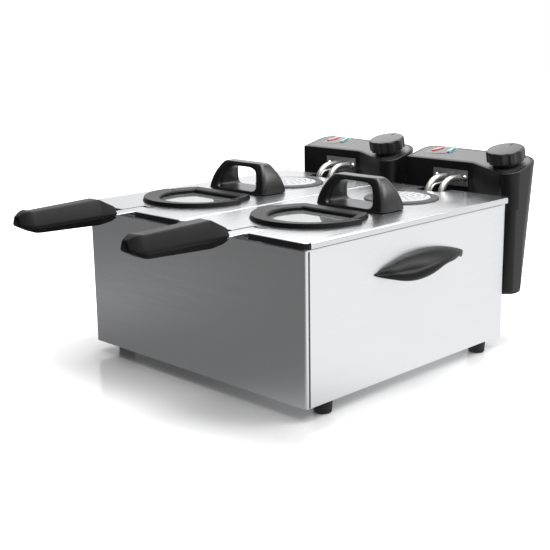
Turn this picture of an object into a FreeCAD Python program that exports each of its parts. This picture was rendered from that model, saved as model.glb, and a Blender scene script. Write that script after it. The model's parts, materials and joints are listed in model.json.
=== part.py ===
"""Double-tank table-top deep fryer: steel housing, two pots, two baskets, two lids, two control units."""
import FreeCAD
import Part
import math
import os

V = FreeCAD.Vector

# Shares that shape a form, and how far a cutting shape runs past what it cuts
END_ROUNDING = 0.98
CUT_OVER = 1.0

# How near two measures have to be to count as one
SAME_PLACE = 1e-6
SAME_LEVEL = 1e-4
SAME_SLOPE = 1e-3

# Housing
HOUSING_W = 350.0
HOUSING_D = 343.0
HOUSING_H = 162.0
HOUSING_CORNER = 4.0
HOUSING_TOP_EDGE = 2.5
SHEET = 1.2
TOP_LEDGE = 6.0
FOOT_H = 14.0
FOOT_R = 10.5
FOOT_EDGE = 1.0
FOOT_IN_X = 11.5
FOOT_IN_Y = 36.0
BASE_SHEET = 1.5
VENT_COUNT = 7
VENT_PITCH = 22.0
VENT_W = 5.0
VENT_L = 90.0
RAIL_W = 10.0
RAIL_H = 15.0

# Oil pot
POT_DEPTH = 110.0
POT_SHEET = 1.0
POT_CORNER = 30.0
POT_FLOOR_EDGE = 12.0
POT_GAP = 0.7
RIM_SHEET = 1.2
RIM_IN = 1.0
RIM_CORNER = 8.0

# Lid, which overhangs the housing at its side and its front
LID_SIDE_OVER = 7.0
LID_FRONT_OVER = 6.5
LID_REAR_IN = 2.0
LID_GAP = 1.0
LID_FLANGE = 6.6
LID_SHEET = 1.2
LID_CORNER = 7.0
LID_EDGE = 2.4
LID_RIB_T = 1.2
LID_RIB_IN = 3.0
STRAP_SLOT_W = 23.0
STRAP_SLOT_L = 30.0
STRAP_SLOT_CORNER = 2.0
NOTCH_CLEAR = 5.0
NOTCH_FRONT_CLEAR = 6.0
NOTCH_CORNER = 4.0

# Window in the lid
WINDOW_IN = 105.3
WINDOW_R_IN = 47.0
WINDOW_R_REAR = 58.7
WINDOW_R_FRONT = 65.2
WINDOW_STEP = 4.7
WINDOW_CHORD_IN = 26.7
WINDOW_CHORD_OUT = 37.7
WINDOW_H = 4.8
WINDOW_SLOPE = 1.8
WINDOW_DISH = 1.4
WINDOW_LIP = 2.0
WINDOW_NECK = 2.8
GLASS_T = 3.0
GLASS_LAP = 7.0
SEAT_CLEAR = 0.2

# Lid handle: a bell-shaped bridge
HANDLE_L = 99.0
HANDLE_TOP_L = 58.0
HANDLE_H = 36.0
HANDLE_D = 42.0
HANDLE_TOP_D = 15.0
HANDLE_SWELL = 1.5
HANDLE_CORNER = 0.65
HANDLE_BACK = 1.5
HANDLE_STATIONS = 6
HANDLE_EDGE = 1.8
HANDLE_HOLE_L = 66.0
HANDLE_HOLE_TOP_L = 51.0
HANDLE_HOLE_H = 26.5
HANDLE_HOLE_R = 9.0
HANDLE_HOLE_FOOT_R = 6.0
HANDLE_HOLE_FLARE = 9.0
HANDLE_BASE_T = 4.0
HANDLE_SCREW_PITCH = 80.0
SCREW_R = 2.0
SCREW_HEAD_R = 4.0
SCREW_HEAD_H = 2.4
SCREW_HEAD_EDGE = 1.0
SCREW_HEAD_RIM = 0.8
SCREW_GRIP = 8.0
SCREW_CLEAR = 0.1

# Filter in the lid
FILTER_IN = 89.5
FILTER_R = 44.0
FILTER_RING_H = 2.6
FILTER_RING_EDGE = 1.2
FILTER_RING_FALL = 0.8
FILTER_RING_INNER = 2.2
FILTER_CUP_R = 39.8
FILTER_CUP_D = 8.0
FILTER_CUP_T = 1.4
FILTER_CUP_LIP = 3.0
FILTER_NECK = 1.0
MAT_CLEAR = 0.4
COVER_R = 33.6
COVER_T = 1.6
COVER_DOME = 1.4
COVER_BEVEL = 4.0
COVER_STEP = 2.4
COVER_SEAT = 0.4
COVER_CLEAR = 0.3
COVER_SLOT_L = 5.0
COVER_SLOT_W = 1.8
COVER_RINGS = 4
COVER_RING_SLOTS = 5

# Basket, strap and grip
BASKET_FRONT_IN = 25.5
BASKET_REAR_IN = 35.5
BASKET_SIDE_CLEAR = 10.3
BASKET_SEAT = 0.2
BASKET_TOP_BELOW_RIM = 7.0
BASKET_CORNER = 18.0
BASKET_WIRE = 1.6
BASKET_RIM = 4.4
BASKET_RIM_OUT = 1.2
MESH_PITCH = 25.0
MESH_WIRE = 4.0
STRAP_W = 19.0
STRAP_T = 2.4
STRAP_BEND = 4.0
STRAP_DROP = 24.0
STRAP_TONGUE = 44.0
STRAP_BELOW_LID = 0.3
GRIP_OUT = 22.5
GRIP_CLEAR = 0.2
GRIP_L = 130.0
GRIP_FOOT_L = 9.0
GRIP_SLOPE_L = 28.7
GRIP_TIP_L = 10.4
GRIP_NECK_W = 22.0
GRIP_W = 29.0
GRIP_TAIL_W = 24.0
GRIP_NECK_RISE = 8.3
GRIP_RISE = 19.4
GRIP_TAIL_RISE = 17.0
GRIP_NECK_DROP = 5.5
GRIP_DROP = 9.0
GRIP_TAIL_DROP = 6.0
GRIP_TIP_ROUND = 0.866
GRIP_TOP_FLAT = 0.6
GRIP_FOOT_FLAT = 0.72
GRIP_WAIST = 0.12

# Control unit: depths are measured back from the housing's rear wall
UNIT_GAP = 5.5
UNIT_FRONT_GAP = 2.0
UNIT_RECESS = 25.0
UNIT_DEPTH_LEFT = 74.5
UNIT_DEPTH_RIGHT = 67.5
UNIT_TAPER = 20.0
UNIT_BOTTOM = 50.0
UNIT_TILT = 13.0
UNIT_ABOVE_HOUSING = 33.0
UNIT_WALL = 2.5
UNIT_SHOULDER_DROP = 10.0
UNIT_LOBE_W = 73.5
UNIT_NOSE_R = 15.0
UNIT_LOBE_BLEND = 24.0
UNIT_CORNER = 3.0
UNIT_REAR_R_LEFT = 16.0
UNIT_REAR_R_RIGHT = 30.0
UNIT_SHOULDER_R_LEFT = 4.0
UNIT_SHOULDER_R_RIGHT = 10.0
UNIT_FOOT_EDGE = 5.0
UNIT_TOP_EDGE = 2.0
COVER_DEPTH = 12.0
FASCIA_IN = 5.0
FASCIA_T = 1.4
FASCIA_CLEAR = 0.2
KNOB_IN = 30.8
KNOB_BACK = 34.3
KNOB_R = 23.0
KNOB_H = 19.0
KNOB_LIFT = 0.6
KNOB_BASE_IN = 6.0
KNOB_BASE_H = 4.5
KNOB_EDGE = 2.4
KNOB_CROWN = 0.8
KNOB_SCALLOPS = 10
KNOB_SCALLOP_R = 9.7
KNOB_SCALLOP_DEPTH = 1.5
POINTER_W = 1.6
POINTER_L = 9.2
POINTER_IN = 3.5
POINTER_DEPTH = 0.6
SHAFT_R = 3.0
SHAFT_IN_KNOB = 9.0
SHAFT_PRESS_CLEAR = 0.02
SHAFT_HOLE_CLEAR = 0.5
RUNNING_FIT = 0.05
THERMOSTAT_W = 34.0
THERMOSTAT_D = 28.0
THERMOSTAT_H = 20.0
THERMOSTAT_CORNER = 2.0
BUSH_R = 7.0
BUSH_H = 4.0
LAMP_L = 15.0
LAMP_W = 5.6
LAMP_PROUD = 1.0
POWER_LAMP_IN = 26.0
POWER_LAMP_BACK = 61.5
POWER_LAMP_TURN = 24.0
READY_LAMP_IN = 45.0
READY_LAMP_BACK = 60.5
READY_LAMP_TURN = 62.0
RESET_R = 5.0
RESET_L = 9.0
RESET_PROUD = 2.6
RESET_EDGE = 1.2
RESET_IN = 46.0
RESET_UP = 60.0
RESET_CLEAR = 0.1
INLET_R = 4.5
INLET_IN = 26.0
INLET_UP = 28.0
GUIDE_W = 14.0
GUIDE_STEM_W = 7.0
GUIDE_HEAD_T = 2.0
GUIDE_BELOW_TOP = 26.0
GUIDE_H = 44.0
GUIDE_X = 55.0
GUIDE_CLEAR = 0.15

# Heating element
ELEMENT_R = 4.0
ELEMENT_BESIDE_PLATE = 3.0
ELEMENT_SPACING = 20.0
ELEMENT_ABOVE_LID = 11.2
ELEMENT_DROP_IN = 15.5
ELEMENT_BEND = 24.0
ELEMENT_FLOOR_BEND = 14.0
ELEMENT_SPREAD_BEND = 14.0
ELEMENT_FRONT_BEND = 40.0
ELEMENT_ABOVE_FLOOR = 19.0
ELEMENT_W = 96.0
ELEMENT_LOOP_X = -6.0
ELEMENT_FRONT_IN = 56.5
ELEMENT_SPREAD_IN = 68.5
ELEMENT_SPREAD_L = 30.0
ELEMENT_IN_WALL = 6.0
ELEMENT_CLEAR = 0.1
PLATE_BESIDE_LOBE = 5.0
PLATE_W = 52.0
PLATE_H = 20.0
PLATE_T = 1.5
PLATE_ABOVE_LID = 0.6
PLATE_SCREW_PITCH = 42.0
SENSOR_R = 1.3
SENSOR_BELOW = 5.0
SENSOR_DROP_IN = 21.5
SENSOR_BEND = 12.0
SENSOR_END_L = 30.0
BULB_R = 3.0
BULB_L = 60.0
BULB_LAP = 2.0

# Side handle: a leaf on the side wall over a lip that hangs from its front part
PULL_Y = 7.5
PULL_BELOW_TOP = 43.5
PULL_L = 151.0
PULL_OUT = 24.0
PULL_RISE = 13.5
PULL_FALL = 10.0
PULL_LIP_END = 0.62
PULL_CREASE = 0.45
PULL_VALLEY = 0.08
PULL_VALLEY_RISE = 0.75
PULL_VALLEY_FROM = 0.25
PULL_LEAF_BULGE = 0.66
PULL_HEM_OUT = 0.82
PULL_END_H = 4.4
PULL_END_OUT = 2.0
PULL_WALL = 6.0
PULL_GAP_L = 92.0
PULL_GAP_UP = 3.0
PULL_STATIONS = 11

# Places and heights worked out from the sizes above
STATION_PITCH = HOUSING_W / 2 + LID_SIDE_OVER
FRONT = -HOUSING_D / 2
REAR = HOUSING_D / 2
HOUSING_TOP = FOOT_H + HOUSING_H
RIM_TOP = HOUSING_TOP + RIM_SHEET
LID_TOP = RIM_TOP + LID_FLANGE
LID_UNDER = LID_TOP - LID_SHEET
LID_FRONT = FRONT - LID_FRONT_OVER
LID_REAR = REAR - LID_REAR_IN
LID_HALF = (STATION_PITCH - LID_GAP) / 2
POT_OUTER_X = HOUSING_W / 2 - TOP_LEDGE - POT_GAP - STATION_PITCH / 2
POT_REAR = REAR - TOP_LEDGE - POT_GAP
POT_FLOOR = HOUSING_TOP - POT_DEPTH
WINDOW_Y = LID_FRONT + WINDOW_IN
FILTER_Y = LID_REAR - FILTER_IN
HANDLE_Y = (WINDOW_Y + FILTER_Y) / 2 + HANDLE_BACK
ELEMENT_Z = POT_FLOOR + ELEMENT_ABOVE_FLOOR
ELEMENT_ROOT_Z = LID_TOP + ELEMENT_ABOVE_LID
ELEMENT_DROP_Y = REAR - ELEMENT_DROP_IN
ELEMENT_SPREAD_Y = REAR - ELEMENT_SPREAD_IN
ELEMENT_FRONT = FRONT + ELEMENT_FRONT_IN
SENSOR_DROP_Y = REAR - SENSOR_DROP_IN
PLATE_Z = LID_TOP + PLATE_ABOVE_LID + PLATE_H / 2
BASKET_HALF = POT_OUTER_X - POT_SHEET - BASKET_SIDE_CLEAR
BASKET_FRONT = FRONT + BASKET_FRONT_IN
BASKET_REAR = REAR - BASKET_REAR_IN
BASKET_TOP = HOUSING_TOP - BASKET_TOP_BELOW_RIM
BASKET_FLOOR = ELEMENT_Z + ELEMENT_R + BASKET_SEAT
STRAP_TOP = LID_TOP - STRAP_BELOW_LID
GRIP_START = FRONT - GRIP_OUT
UNIT_RIGHT = LID_HALF
UNIT_LEFT = UNIT_RIGHT + UNIT_GAP - STATION_PITCH
UNIT_FRONT = REAR + UNIT_FRONT_GAP
UNIT_RECESS_Y = REAR + UNIT_RECESS
UNIT_LOW = FOOT_H + UNIT_BOTTOM
UNIT_HIGH = HOUSING_TOP + UNIT_ABOVE_HOUSING + UNIT_DEPTH_LEFT * math.tan(math.radians(UNIT_TILT))
UNIT_LOBE_X = UNIT_RIGHT - UNIT_LOBE_W
PLATE_X = UNIT_LOBE_X - PLATE_BESIDE_LOBE - PLATE_W / 2
ELEMENT_X = PLATE_X + ELEMENT_BESIDE_PLATE
KNOB_X = UNIT_RIGHT - KNOB_IN
KNOB_Y = REAR + KNOB_BACK
RESET_X = UNIT_LEFT + RESET_IN
RESET_Z = UNIT_LOW + RESET_UP
INLET_X = UNIT_LEFT + INLET_IN
INLET_Z = UNIT_LOW + INLET_UP
GUIDE_TOP = HOUSING_TOP - GUIDE_BELOW_TOP
PULL_Z = HOUSING_TOP - PULL_BELOW_TOP
TILT_SLOPE = math.tan(math.radians(UNIT_TILT))
TOP_AXIS = V(0, -math.sin(math.radians(UNIT_TILT)), math.cos(math.radians(UNIT_TILT)))
SPACE = 2 * (HOUSING_W + HOUSING_D)


def unit_top_z(y):
    """Height of the control unit's sloping top at depth y."""
    return HOUSING_TOP + UNIT_ABOVE_HOUSING + (y - UNIT_FRONT) * TILT_SLOPE


def rounded_wire(corners, z=0.0):
    """Closed flat wire through (x, y, radius) corners, each corner rounded by a tangent arc."""
    pts = [V(x, y, z) for x, y, _ in corners]
    ends = []
    for i, (_, _, radius) in enumerate(corners):
        here = pts[i]
        back = (pts[i - 1] - here).normalize()
        ahead = (pts[(i + 1) % len(pts)] - here).normalize()
        half = back.getAngle(ahead) / 2
        cut = radius / math.tan(half)
        middle = (back + ahead).normalize()
        deep = radius / math.sin(half) - radius
        ends.append((here + back * cut, here + middle * deep, here + ahead * cut, radius))
    edges = []
    for i, (start, mid, stop, radius) in enumerate(ends):
        if radius > 0:
            edges.append(Part.Arc(start, mid, stop).toShape())
        following = ends[(i + 1) % len(ends)][0]
        if stop.distanceToPoint(following) > SAME_PLACE:
            edges.append(Part.LineSegment(stop, following).toShape())
    return Part.Wire(edges)


def prism(corners, z0, z1):
    """Upright prism on a rounded outline."""
    return Part.Face(rounded_wire(corners, z0)).extrude(V(0, 0, z1 - z0))


def box_corners(x0, x1, y0, y1, radius):
    """Corners of a rounded rectangle."""
    return [(x0, y0, radius), (x1, y0, radius), (x1, y1, radius), (x0, y1, radius)]


def block(x0, x1, y0, y1, z0, z1):
    """Plain box between two corners."""
    return Part.makeBox(x1 - x0, y1 - y0, z1 - z0, V(x0, y0, z0))


def beyond(point, normal):
    """Large block on the far side of the plane through a point."""
    slab = Part.makeBox(SPACE, SPACE, SPACE, V(-SPACE / 2, -SPACE / 2, 0))
    slab.Placement = FreeCAD.Placement(point, FreeCAD.Rotation(V(0, 0, 1), normal))
    return slab


def revolve(profile, x=0.0, y=0.0, z=0.0):
    """Solid turned about an upright axis from (radius, height) points."""
    pts = [V(r, 0, h) for r, h in profile]
    face = Part.Face(Part.makePolygon(pts + pts[:1]))
    solid = face.revolve(V(0, 0, 0), V(0, 0, 1), 360)
    solid.translate(V(x, y, z))
    return solid


def rod(radius, length, x, y, z):
    """Round bar that runs back along Y from a point."""
    return Part.makeCylinder(radius, length, V(x, y, z), V(0, 1, 0))


def pipe(points, bends, radius):
    """Round bar along straight runs joined by tangent arcs: cylinders and parts of tori."""
    pts = [V(*p) for p in points]
    solids = []
    start = pts[0]
    for i in range(1, len(pts) - 1):
        back = (pts[i - 1] - pts[i]).normalize()
        ahead = (pts[i + 1] - pts[i]).normalize()
        half = back.getAngle(ahead) / 2
        bend = bends[i - 1]
        enter = pts[i] + back * (bend / math.tan(half))
        run = enter - start
        if run.Length > SAME_PLACE:
            solids.append(Part.makeCylinder(radius, run.Length, start, run))
        centre = pts[i] + (back + ahead).normalize() * (bend / math.sin(half))
        disc = Part.Face(Part.Wire([Part.makeCircle(radius, enter, back)]))
        solids.append(disc.revolve(centre, ahead.cross(back), 180 - math.degrees(2 * half)))
        start = pts[i] + ahead * (bend / math.tan(half))
    solids.append(Part.makeCylinder(radius, (pts[-1] - start).Length, start, pts[-1] - start))
    return fuse(*solids)


def horizontal_edges(shape, z):
    """Edges that lie wholly at height z."""
    return [e for e in shape.Edges if max(abs(e.BoundBox.ZMin - z), abs(e.BoundBox.ZMax - z)) < SAME_LEVEL]


def fuse(first, *others):
    """One solid from several that touch."""
    return first.fuse(list(others)).removeSplitter()


def housing_shell():
    """Wrapped steel wall with an inward top ledge that carries the pots."""
    hw, hd = HOUSING_W / 2, HOUSING_D / 2
    outer = prism(box_corners(-hw, hw, -hd, hd, HOUSING_CORNER), FOOT_H, HOUSING_TOP)
    outer = outer.makeFillet(HOUSING_TOP_EDGE, horizontal_edges(outer, HOUSING_TOP))
    inner_r = HOUSING_CORNER - SHEET
    inner = box_corners(-hw + SHEET, hw - SHEET, -hd + SHEET, hd - SHEET, inner_r)
    hollow = prism(inner, FOOT_H, HOUSING_TOP - SHEET)
    mouth = box_corners(-hw + TOP_LEDGE, hw - TOP_LEDGE, -hd + TOP_LEDGE, hd - TOP_LEDGE, POT_CORNER)
    return outer.cut([hollow, prism(mouth, FOOT_H, HOUSING_TOP)])


def base_plate():
    """Floor of the housing with cooling slots between the feet."""
    hw, hd = HOUSING_W / 2 - SHEET, HOUSING_D / 2 - SHEET
    plate = prism(box_corners(-hw, hw, -hd, hd, HOUSING_CORNER - SHEET), FOOT_H, FOOT_H + BASE_SHEET)
    slots = []
    for i in range(VENT_COUNT):
        slot = capsule(VENT_L, VENT_W, FOOT_H, FOOT_H + BASE_SHEET)
        slot.rotate(V(0, 0, 0), V(0, 0, 1), 90)
        slot.translate(V((i - (VENT_COUNT - 1) / 2) * VENT_PITCH, 0, 0))
        slots.append(slot)
    return plate.cut(slots)


def feet():
    """Four turned rubber feet."""
    profile = [(0, 0), (FOOT_R - 2 * FOOT_EDGE, 0), (FOOT_R - FOOT_EDGE, FOOT_EDGE), (FOOT_R, FOOT_H),
               (0, FOOT_H)]
    x, y = HOUSING_W / 2 - FOOT_IN_X, HOUSING_D / 2 - FOOT_IN_Y
    return Part.makeCompound([revolve(profile, sx * x, sy * y) for sx in (-1, 1) for sy in (-1, 1)])


def centre_rail():
    """Channel between the two pots, carried by the front and rear ledges."""
    hd = HOUSING_D / 2 - TOP_LEDGE
    half = RAIL_W / 2
    rail = block(-half, half, -hd, hd, HOUSING_TOP - RAIL_H, HOUSING_TOP)
    inside = block(-half + SHEET, half - SHEET, -hd, hd, HOUSING_TOP - RAIL_H, HOUSING_TOP - SHEET)
    return rail.cut(inside)


def control_guides():
    """T-section rails on the rear wall that the control units slide down over."""
    stem_out = REAR + UNIT_FRONT_GAP + UNIT_WALL
    low = GUIDE_TOP - GUIDE_H
    solids = []
    for station in (-1, 1):
        for side in (-1, 1):
            x = station * STATION_PITCH / 2 + side * GUIDE_X
            stem = block(x - GUIDE_STEM_W / 2, x + GUIDE_STEM_W / 2, REAR, stem_out, low, GUIDE_TOP)
            head = block(x - GUIDE_W / 2, x + GUIDE_W / 2, stem_out, stem_out + GUIDE_HEAD_T, low, GUIDE_TOP)
            solids.append(fuse(stem, head))
    return Part.makeCompound(solids)


def pull_section(t):
    """Side handle's section at share t of its length: leaf above, crease, lip below, flat on the wall."""
    wall = HOUSING_W / 2
    y = PULL_Y + (t - 0.5) * PULL_L
    bow = 4 * t * (1 - t)
    end = PULL_END_H * (1 + t) / 4
    out = PULL_END_OUT + (PULL_OUT - PULL_END_OUT) * bow
    top = PULL_Z + end + PULL_RISE * bow
    low = PULL_Z - end - PULL_FALL * math.sin(math.pi * min(t / PULL_LIP_END, 1.0))
    notch = out * max(PULL_CREASE * (1 - 2 * t) * bow, PULL_VALLEY)
    past = max(0.0, t - PULL_VALLEY_FROM) / (1 - PULL_VALLEY_FROM)
    fold = PULL_Z + (top - PULL_Z) * PULL_VALLEY_RISE * past
    crease = V(wall + out - notch, y, fold)
    leaf = V(wall + PULL_LEAF_BULGE * (out - notch), y, fold + PULL_LEAF_BULGE * (top - fold))
    lip = V(wall + out, y, (fold + 2 * low) / 3)
    hem = V(wall + PULL_HEM_OUT * out, y, low)
    edges = [Part.Arc(V(wall, y, top), leaf, crease), Part.Arc(crease, lip, hem),
             Part.LineSegment(hem, V(wall, y, low)), Part.LineSegment(V(wall, y, low), V(wall, y, top))]
    return Part.Wire([e.toShape() for e in edges])


def side_handle(side):
    """Leaf-shaped cup pull on a side wall: bowed, creased near its front, open below for the fingers."""
    steps = [i / (PULL_STATIONS - 1) for i in range(PULL_STATIONS)]
    body = Part.makeLoft([pull_section(t) for t in steps], True)
    wall, half = HOUSING_W / 2, PULL_GAP_L / 2
    low = PULL_Z - 2 * PULL_FALL
    deepest = V(wall + PULL_OUT - PULL_WALL, PULL_Y, low)
    ends = [V(wall, PULL_Y - half, low), deepest, V(wall, PULL_Y + half, low)]
    plan = Part.Wire([Part.Arc(*ends).toShape(), Part.LineSegment(ends[2], ends[0]).toShape()])
    pull = body.cut(Part.Face(plan).extrude(V(0, 0, PULL_Z + PULL_GAP_UP - low)))
    if side < 0:
        pull = pull.mirror(V(0, 0, 0), V(1, 0, 0))
    return pull


def pot_span(side):
    """Outer side walls of a pot, measured from its station's centre line."""
    inner = RAIL_W / 2 + POT_GAP - STATION_PITCH / 2
    return (inner, POT_OUTER_X) if side > 0 else (-POT_OUTER_X, -inner)


def oil_pot(side):
    """Deep-drawn pot that hangs by its rim on the housing ledge and the centre rail."""
    x0, x1 = pot_span(side)
    y1 = POT_REAR
    outer = prism(box_corners(x0, x1, -y1, y1, POT_CORNER), POT_FLOOR, RIM_TOP)
    outer = outer.makeFillet(POT_FLOOR_EDGE, horizontal_edges(outer, POT_FLOOR))
    s = POT_SHEET
    inner = prism(box_corners(x0 + s, x1 - s, -y1 + s, y1 - s, POT_CORNER - s), POT_FLOOR + s, RIM_TOP)
    inner = inner.makeFillet(POT_FLOOR_EDGE - s, horizontal_edges(inner, POT_FLOOR + s))
    lap = TOP_LEDGE + POT_GAP - RIM_IN
    toward_rail = RAIL_W / 2 + POT_GAP - LID_GAP / 2
    rx0 = x0 - (toward_rail if side > 0 else lap)
    rx1 = x1 + (lap if side > 0 else toward_rail)
    rim = prism(box_corners(rx0, rx1, -y1 - lap, y1 + lap, RIM_CORNER), HOUSING_TOP, RIM_TOP)
    return fuse(outer, rim).cut(inner)


def lid_panel(side):
    """Pressed lid: turned-down edge, locating rib, and openings for window, filter, strap and element."""
    outer = prism(box_corners(-LID_HALF, LID_HALF, LID_FRONT, LID_REAR, LID_CORNER), RIM_TOP, LID_TOP)
    outer = outer.makeFillet(LID_EDGE, horizontal_edges(outer, LID_TOP))
    s = LID_SHEET
    hollow = prism(box_corners(-LID_HALF + s, LID_HALF - s, LID_FRONT + s, LID_REAR - s, LID_CORNER - s),
                   RIM_TOP, LID_UNDER)
    hollow = hollow.makeFillet(LID_EDGE - s, horizontal_edges(hollow, LID_UNDER))
    lid = fuse(outer.cut(hollow), lid_rib(side))
    half = STRAP_SLOT_W / 2
    mouth, end = LID_FRONT - CUT_OVER, LID_FRONT + STRAP_SLOT_L
    slot = [(-half, mouth, 0), (half, mouth, 0),
            (half, end, STRAP_SLOT_CORNER), (-half, end, STRAP_SLOT_CORNER)]
    reach = ELEMENT_SPACING / 2 + ELEMENT_R + NOTCH_CLEAR
    front = min(ELEMENT_DROP_Y - ELEMENT_R, SENSOR_DROP_Y - SENSOR_R) - NOTCH_FRONT_CLEAR
    notch = [(ELEMENT_X - reach, front, NOTCH_CORNER), (ELEMENT_X + reach, front, NOTCH_CORNER),
             (ELEMENT_X + reach, LID_REAR + CUT_OVER, 0), (ELEMENT_X - reach, LID_REAR + CUT_OVER, 0)]
    window = d_outline_prism(WINDOW_R_IN + WINDOW_NECK + SEAT_CLEAR,
                             WINDOW_CHORD_IN + WINDOW_NECK + SEAT_CLEAR, LID_UNDER, LID_TOP)
    vent = Part.makeCylinder(FILTER_CUP_R + SEAT_CLEAR, LID_SHEET, V(0, FILTER_Y, LID_UNDER))
    bore = SCREW_R + SCREW_CLEAR
    holes = [Part.makeCylinder(bore, LID_SHEET, V(x, HANDLE_Y, LID_UNDER)) for x in handle_screw_xs()]
    return lid.cut([prism(slot, RIM_TOP, LID_TOP), prism(notch, RIM_TOP, LID_TOP), window, vent] + holes)


def lid_rib(side):
    """Rib under the lid that stands on the pot's rim and locates in its mouth."""
    x0, x1 = pot_span(side)
    n, t = LID_RIB_IN, LID_RIB_T
    outer = prism(box_corners(x0 - n, x1 + n, -POT_REAR - n, POT_REAR + n, POT_CORNER), RIM_TOP, LID_UNDER)
    n -= t
    inner = box_corners(x0 - n, x1 + n, -POT_REAR - n, POT_REAR + n, POT_CORNER - t)
    return outer.cut(prism(inner, RIM_TOP, LID_UNDER))


def d_outline_prism(radius, chord, z0, z1):
    """Upright prism on a circle about the window centre, cut straight at the rear."""
    disc = Part.makeCylinder(radius, z1 - z0, V(0, WINDOW_Y, z0))
    return disc.cut(block(-radius, radius, WINDOW_Y + chord, WINDOW_Y + 2 * radius, z0, z1))


def window_frame():
    """Raised D-shaped frame: round front, narrower rear corners, straight rear bar, neck through the lid."""
    def ring(radius):
        profile = [(WINDOW_R_IN, 0), (radius + WINDOW_SLOPE, 0), (radius, WINDOW_H),
                   (WINDOW_R_IN + WINDOW_LIP, WINDOW_H - WINDOW_DISH),
                   (WINDOW_R_IN, WINDOW_H - 2 * WINDOW_DISH)]
        return revolve(profile, 0, WINDOW_Y, LID_TOP)
    far = 2 * WINDOW_R_FRONT
    step, bar0, bar1 = WINDOW_Y + WINDOW_STEP, WINDOW_Y + WINDOW_CHORD_IN, WINDOW_Y + WINDOW_CHORD_OUT
    top = LID_TOP + WINDOW_H
    front = ring(WINDOW_R_FRONT).common(block(-far, far, WINDOW_Y - far, step, LID_TOP, top))
    rear = ring(WINDOW_R_REAR).common(block(-far, far, step, bar1, LID_TOP, top))
    rear_disc = revolve([(0, 0), (WINDOW_R_REAR + WINDOW_SLOPE, 0), (WINDOW_R_REAR, WINDOW_H), (0, WINDOW_H)],
                        0, WINDOW_Y, LID_TOP)
    slope = [V(-far, bar0, LID_TOP), V(-far, bar1 + WINDOW_SLOPE, LID_TOP), V(-far, bar1, top),
             V(-far, bar0 + WINDOW_LIP, top - WINDOW_DISH), V(-far, bar0, top - 2 * WINDOW_DISH)]
    bar = Part.Face(Part.makePolygon(slope + slope[:1])).extrude(V(2 * far, 0, 0)).common(rear_disc)
    neck = d_outline_prism(WINDOW_R_IN + WINDOW_NECK, WINDOW_CHORD_IN + WINDOW_NECK, LID_UNDER, LID_TOP)
    neck = neck.cut(d_outline_prism(WINDOW_R_IN, WINDOW_CHORD_IN, LID_UNDER, LID_TOP))
    return fuse(front, rear, bar, neck)


def window_glass():
    """Pane bonded under the lid, lapping the opening all round."""
    radius, chord = WINDOW_R_IN + GLASS_LAP, WINDOW_CHORD_IN + GLASS_LAP
    return d_outline_prism(radius, chord, LID_UNDER - GLASS_T, LID_UNDER)


def handle_screw_xs():
    """Centre lines of the lid handle's screws."""
    return (-HANDLE_SCREW_PITCH / 2, HANDLE_SCREW_PITCH / 2)


def handle_hole():
    """Finger hole through the lid handle, wider at the front and the rear so that the legs round off."""
    low, high = LID_TOP + HANDLE_BASE_T, LID_TOP + HANDLE_BASE_T + HANDLE_HOLE_H
    wires = []
    for share in (-1, 0, 1):
        flare = abs(share) * HANDLE_HOLE_FLARE
        foot, top = HANDLE_HOLE_L / 2 + flare, HANDLE_HOLE_TOP_L / 2 + flare
        outline = [(-foot, low, HANDLE_HOLE_FOOT_R), (foot, low, HANDLE_HOLE_FOOT_R),
                   (top, high, HANDLE_HOLE_R), (-top, high, HANDLE_HOLE_R)]
        wires.append(rounded_wire(outline, share * (HANDLE_D / 2 + CUT_OVER)))
    hole = Part.makeLoft(wires, True)
    hole.rotate(V(0, 0, 0), V(1, 0, 0), 90)
    return hole


def lid_handle():
    """Moulded bridge that swells to its foot, with a through hole for the fingers over a base on the lid."""
    wires = []
    for i in range(HANDLE_STATIONS):
        up = i / (HANDLE_STATIONS - 1)
        draw = up ** HANDLE_SWELL
        half = (HANDLE_L + (HANDLE_TOP_L - HANDLE_L) * draw) / 2
        deep = (HANDLE_D + (HANDLE_TOP_D - HANDLE_D) * draw) / 2
        outline = box_corners(-half, half, -deep, deep, HANDLE_CORNER * deep)
        wires.append(rounded_wire(outline, LID_TOP + up * HANDLE_H))
    body = Part.makeLoft(wires, True)
    body = body.makeFillet(HANDLE_EDGE, horizontal_edges(body, LID_TOP + HANDLE_H))
    bore = SCREW_R + SCREW_CLEAR
    bores = [Part.makeCylinder(bore, SCREW_GRIP, V(x, 0, LID_TOP)) for x in handle_screw_xs()]
    body = body.cut([handle_hole()] + bores)
    body.translate(V(0, HANDLE_Y, 0))
    return body


def screw(length):
    """Pan-head screw that points up from its head's seat at the origin."""
    rim = SCREW_HEAD_R - SCREW_HEAD_EDGE
    return revolve([(0, -SCREW_HEAD_H), (rim, -SCREW_HEAD_H), (SCREW_HEAD_R, -SCREW_HEAD_RIM),
                    (SCREW_HEAD_R, 0), (SCREW_R, 0), (SCREW_R, length), (0, length)])


def lid_handle_screws():
    """Two screws that hold the handle from under the lid."""
    solids = []
    for x in handle_screw_xs():
        solid = screw(LID_SHEET + SCREW_GRIP)
        solid.translate(V(x, HANDLE_Y, LID_UNDER))
        solids.append(solid)
    return Part.makeCompound(solids)


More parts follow.
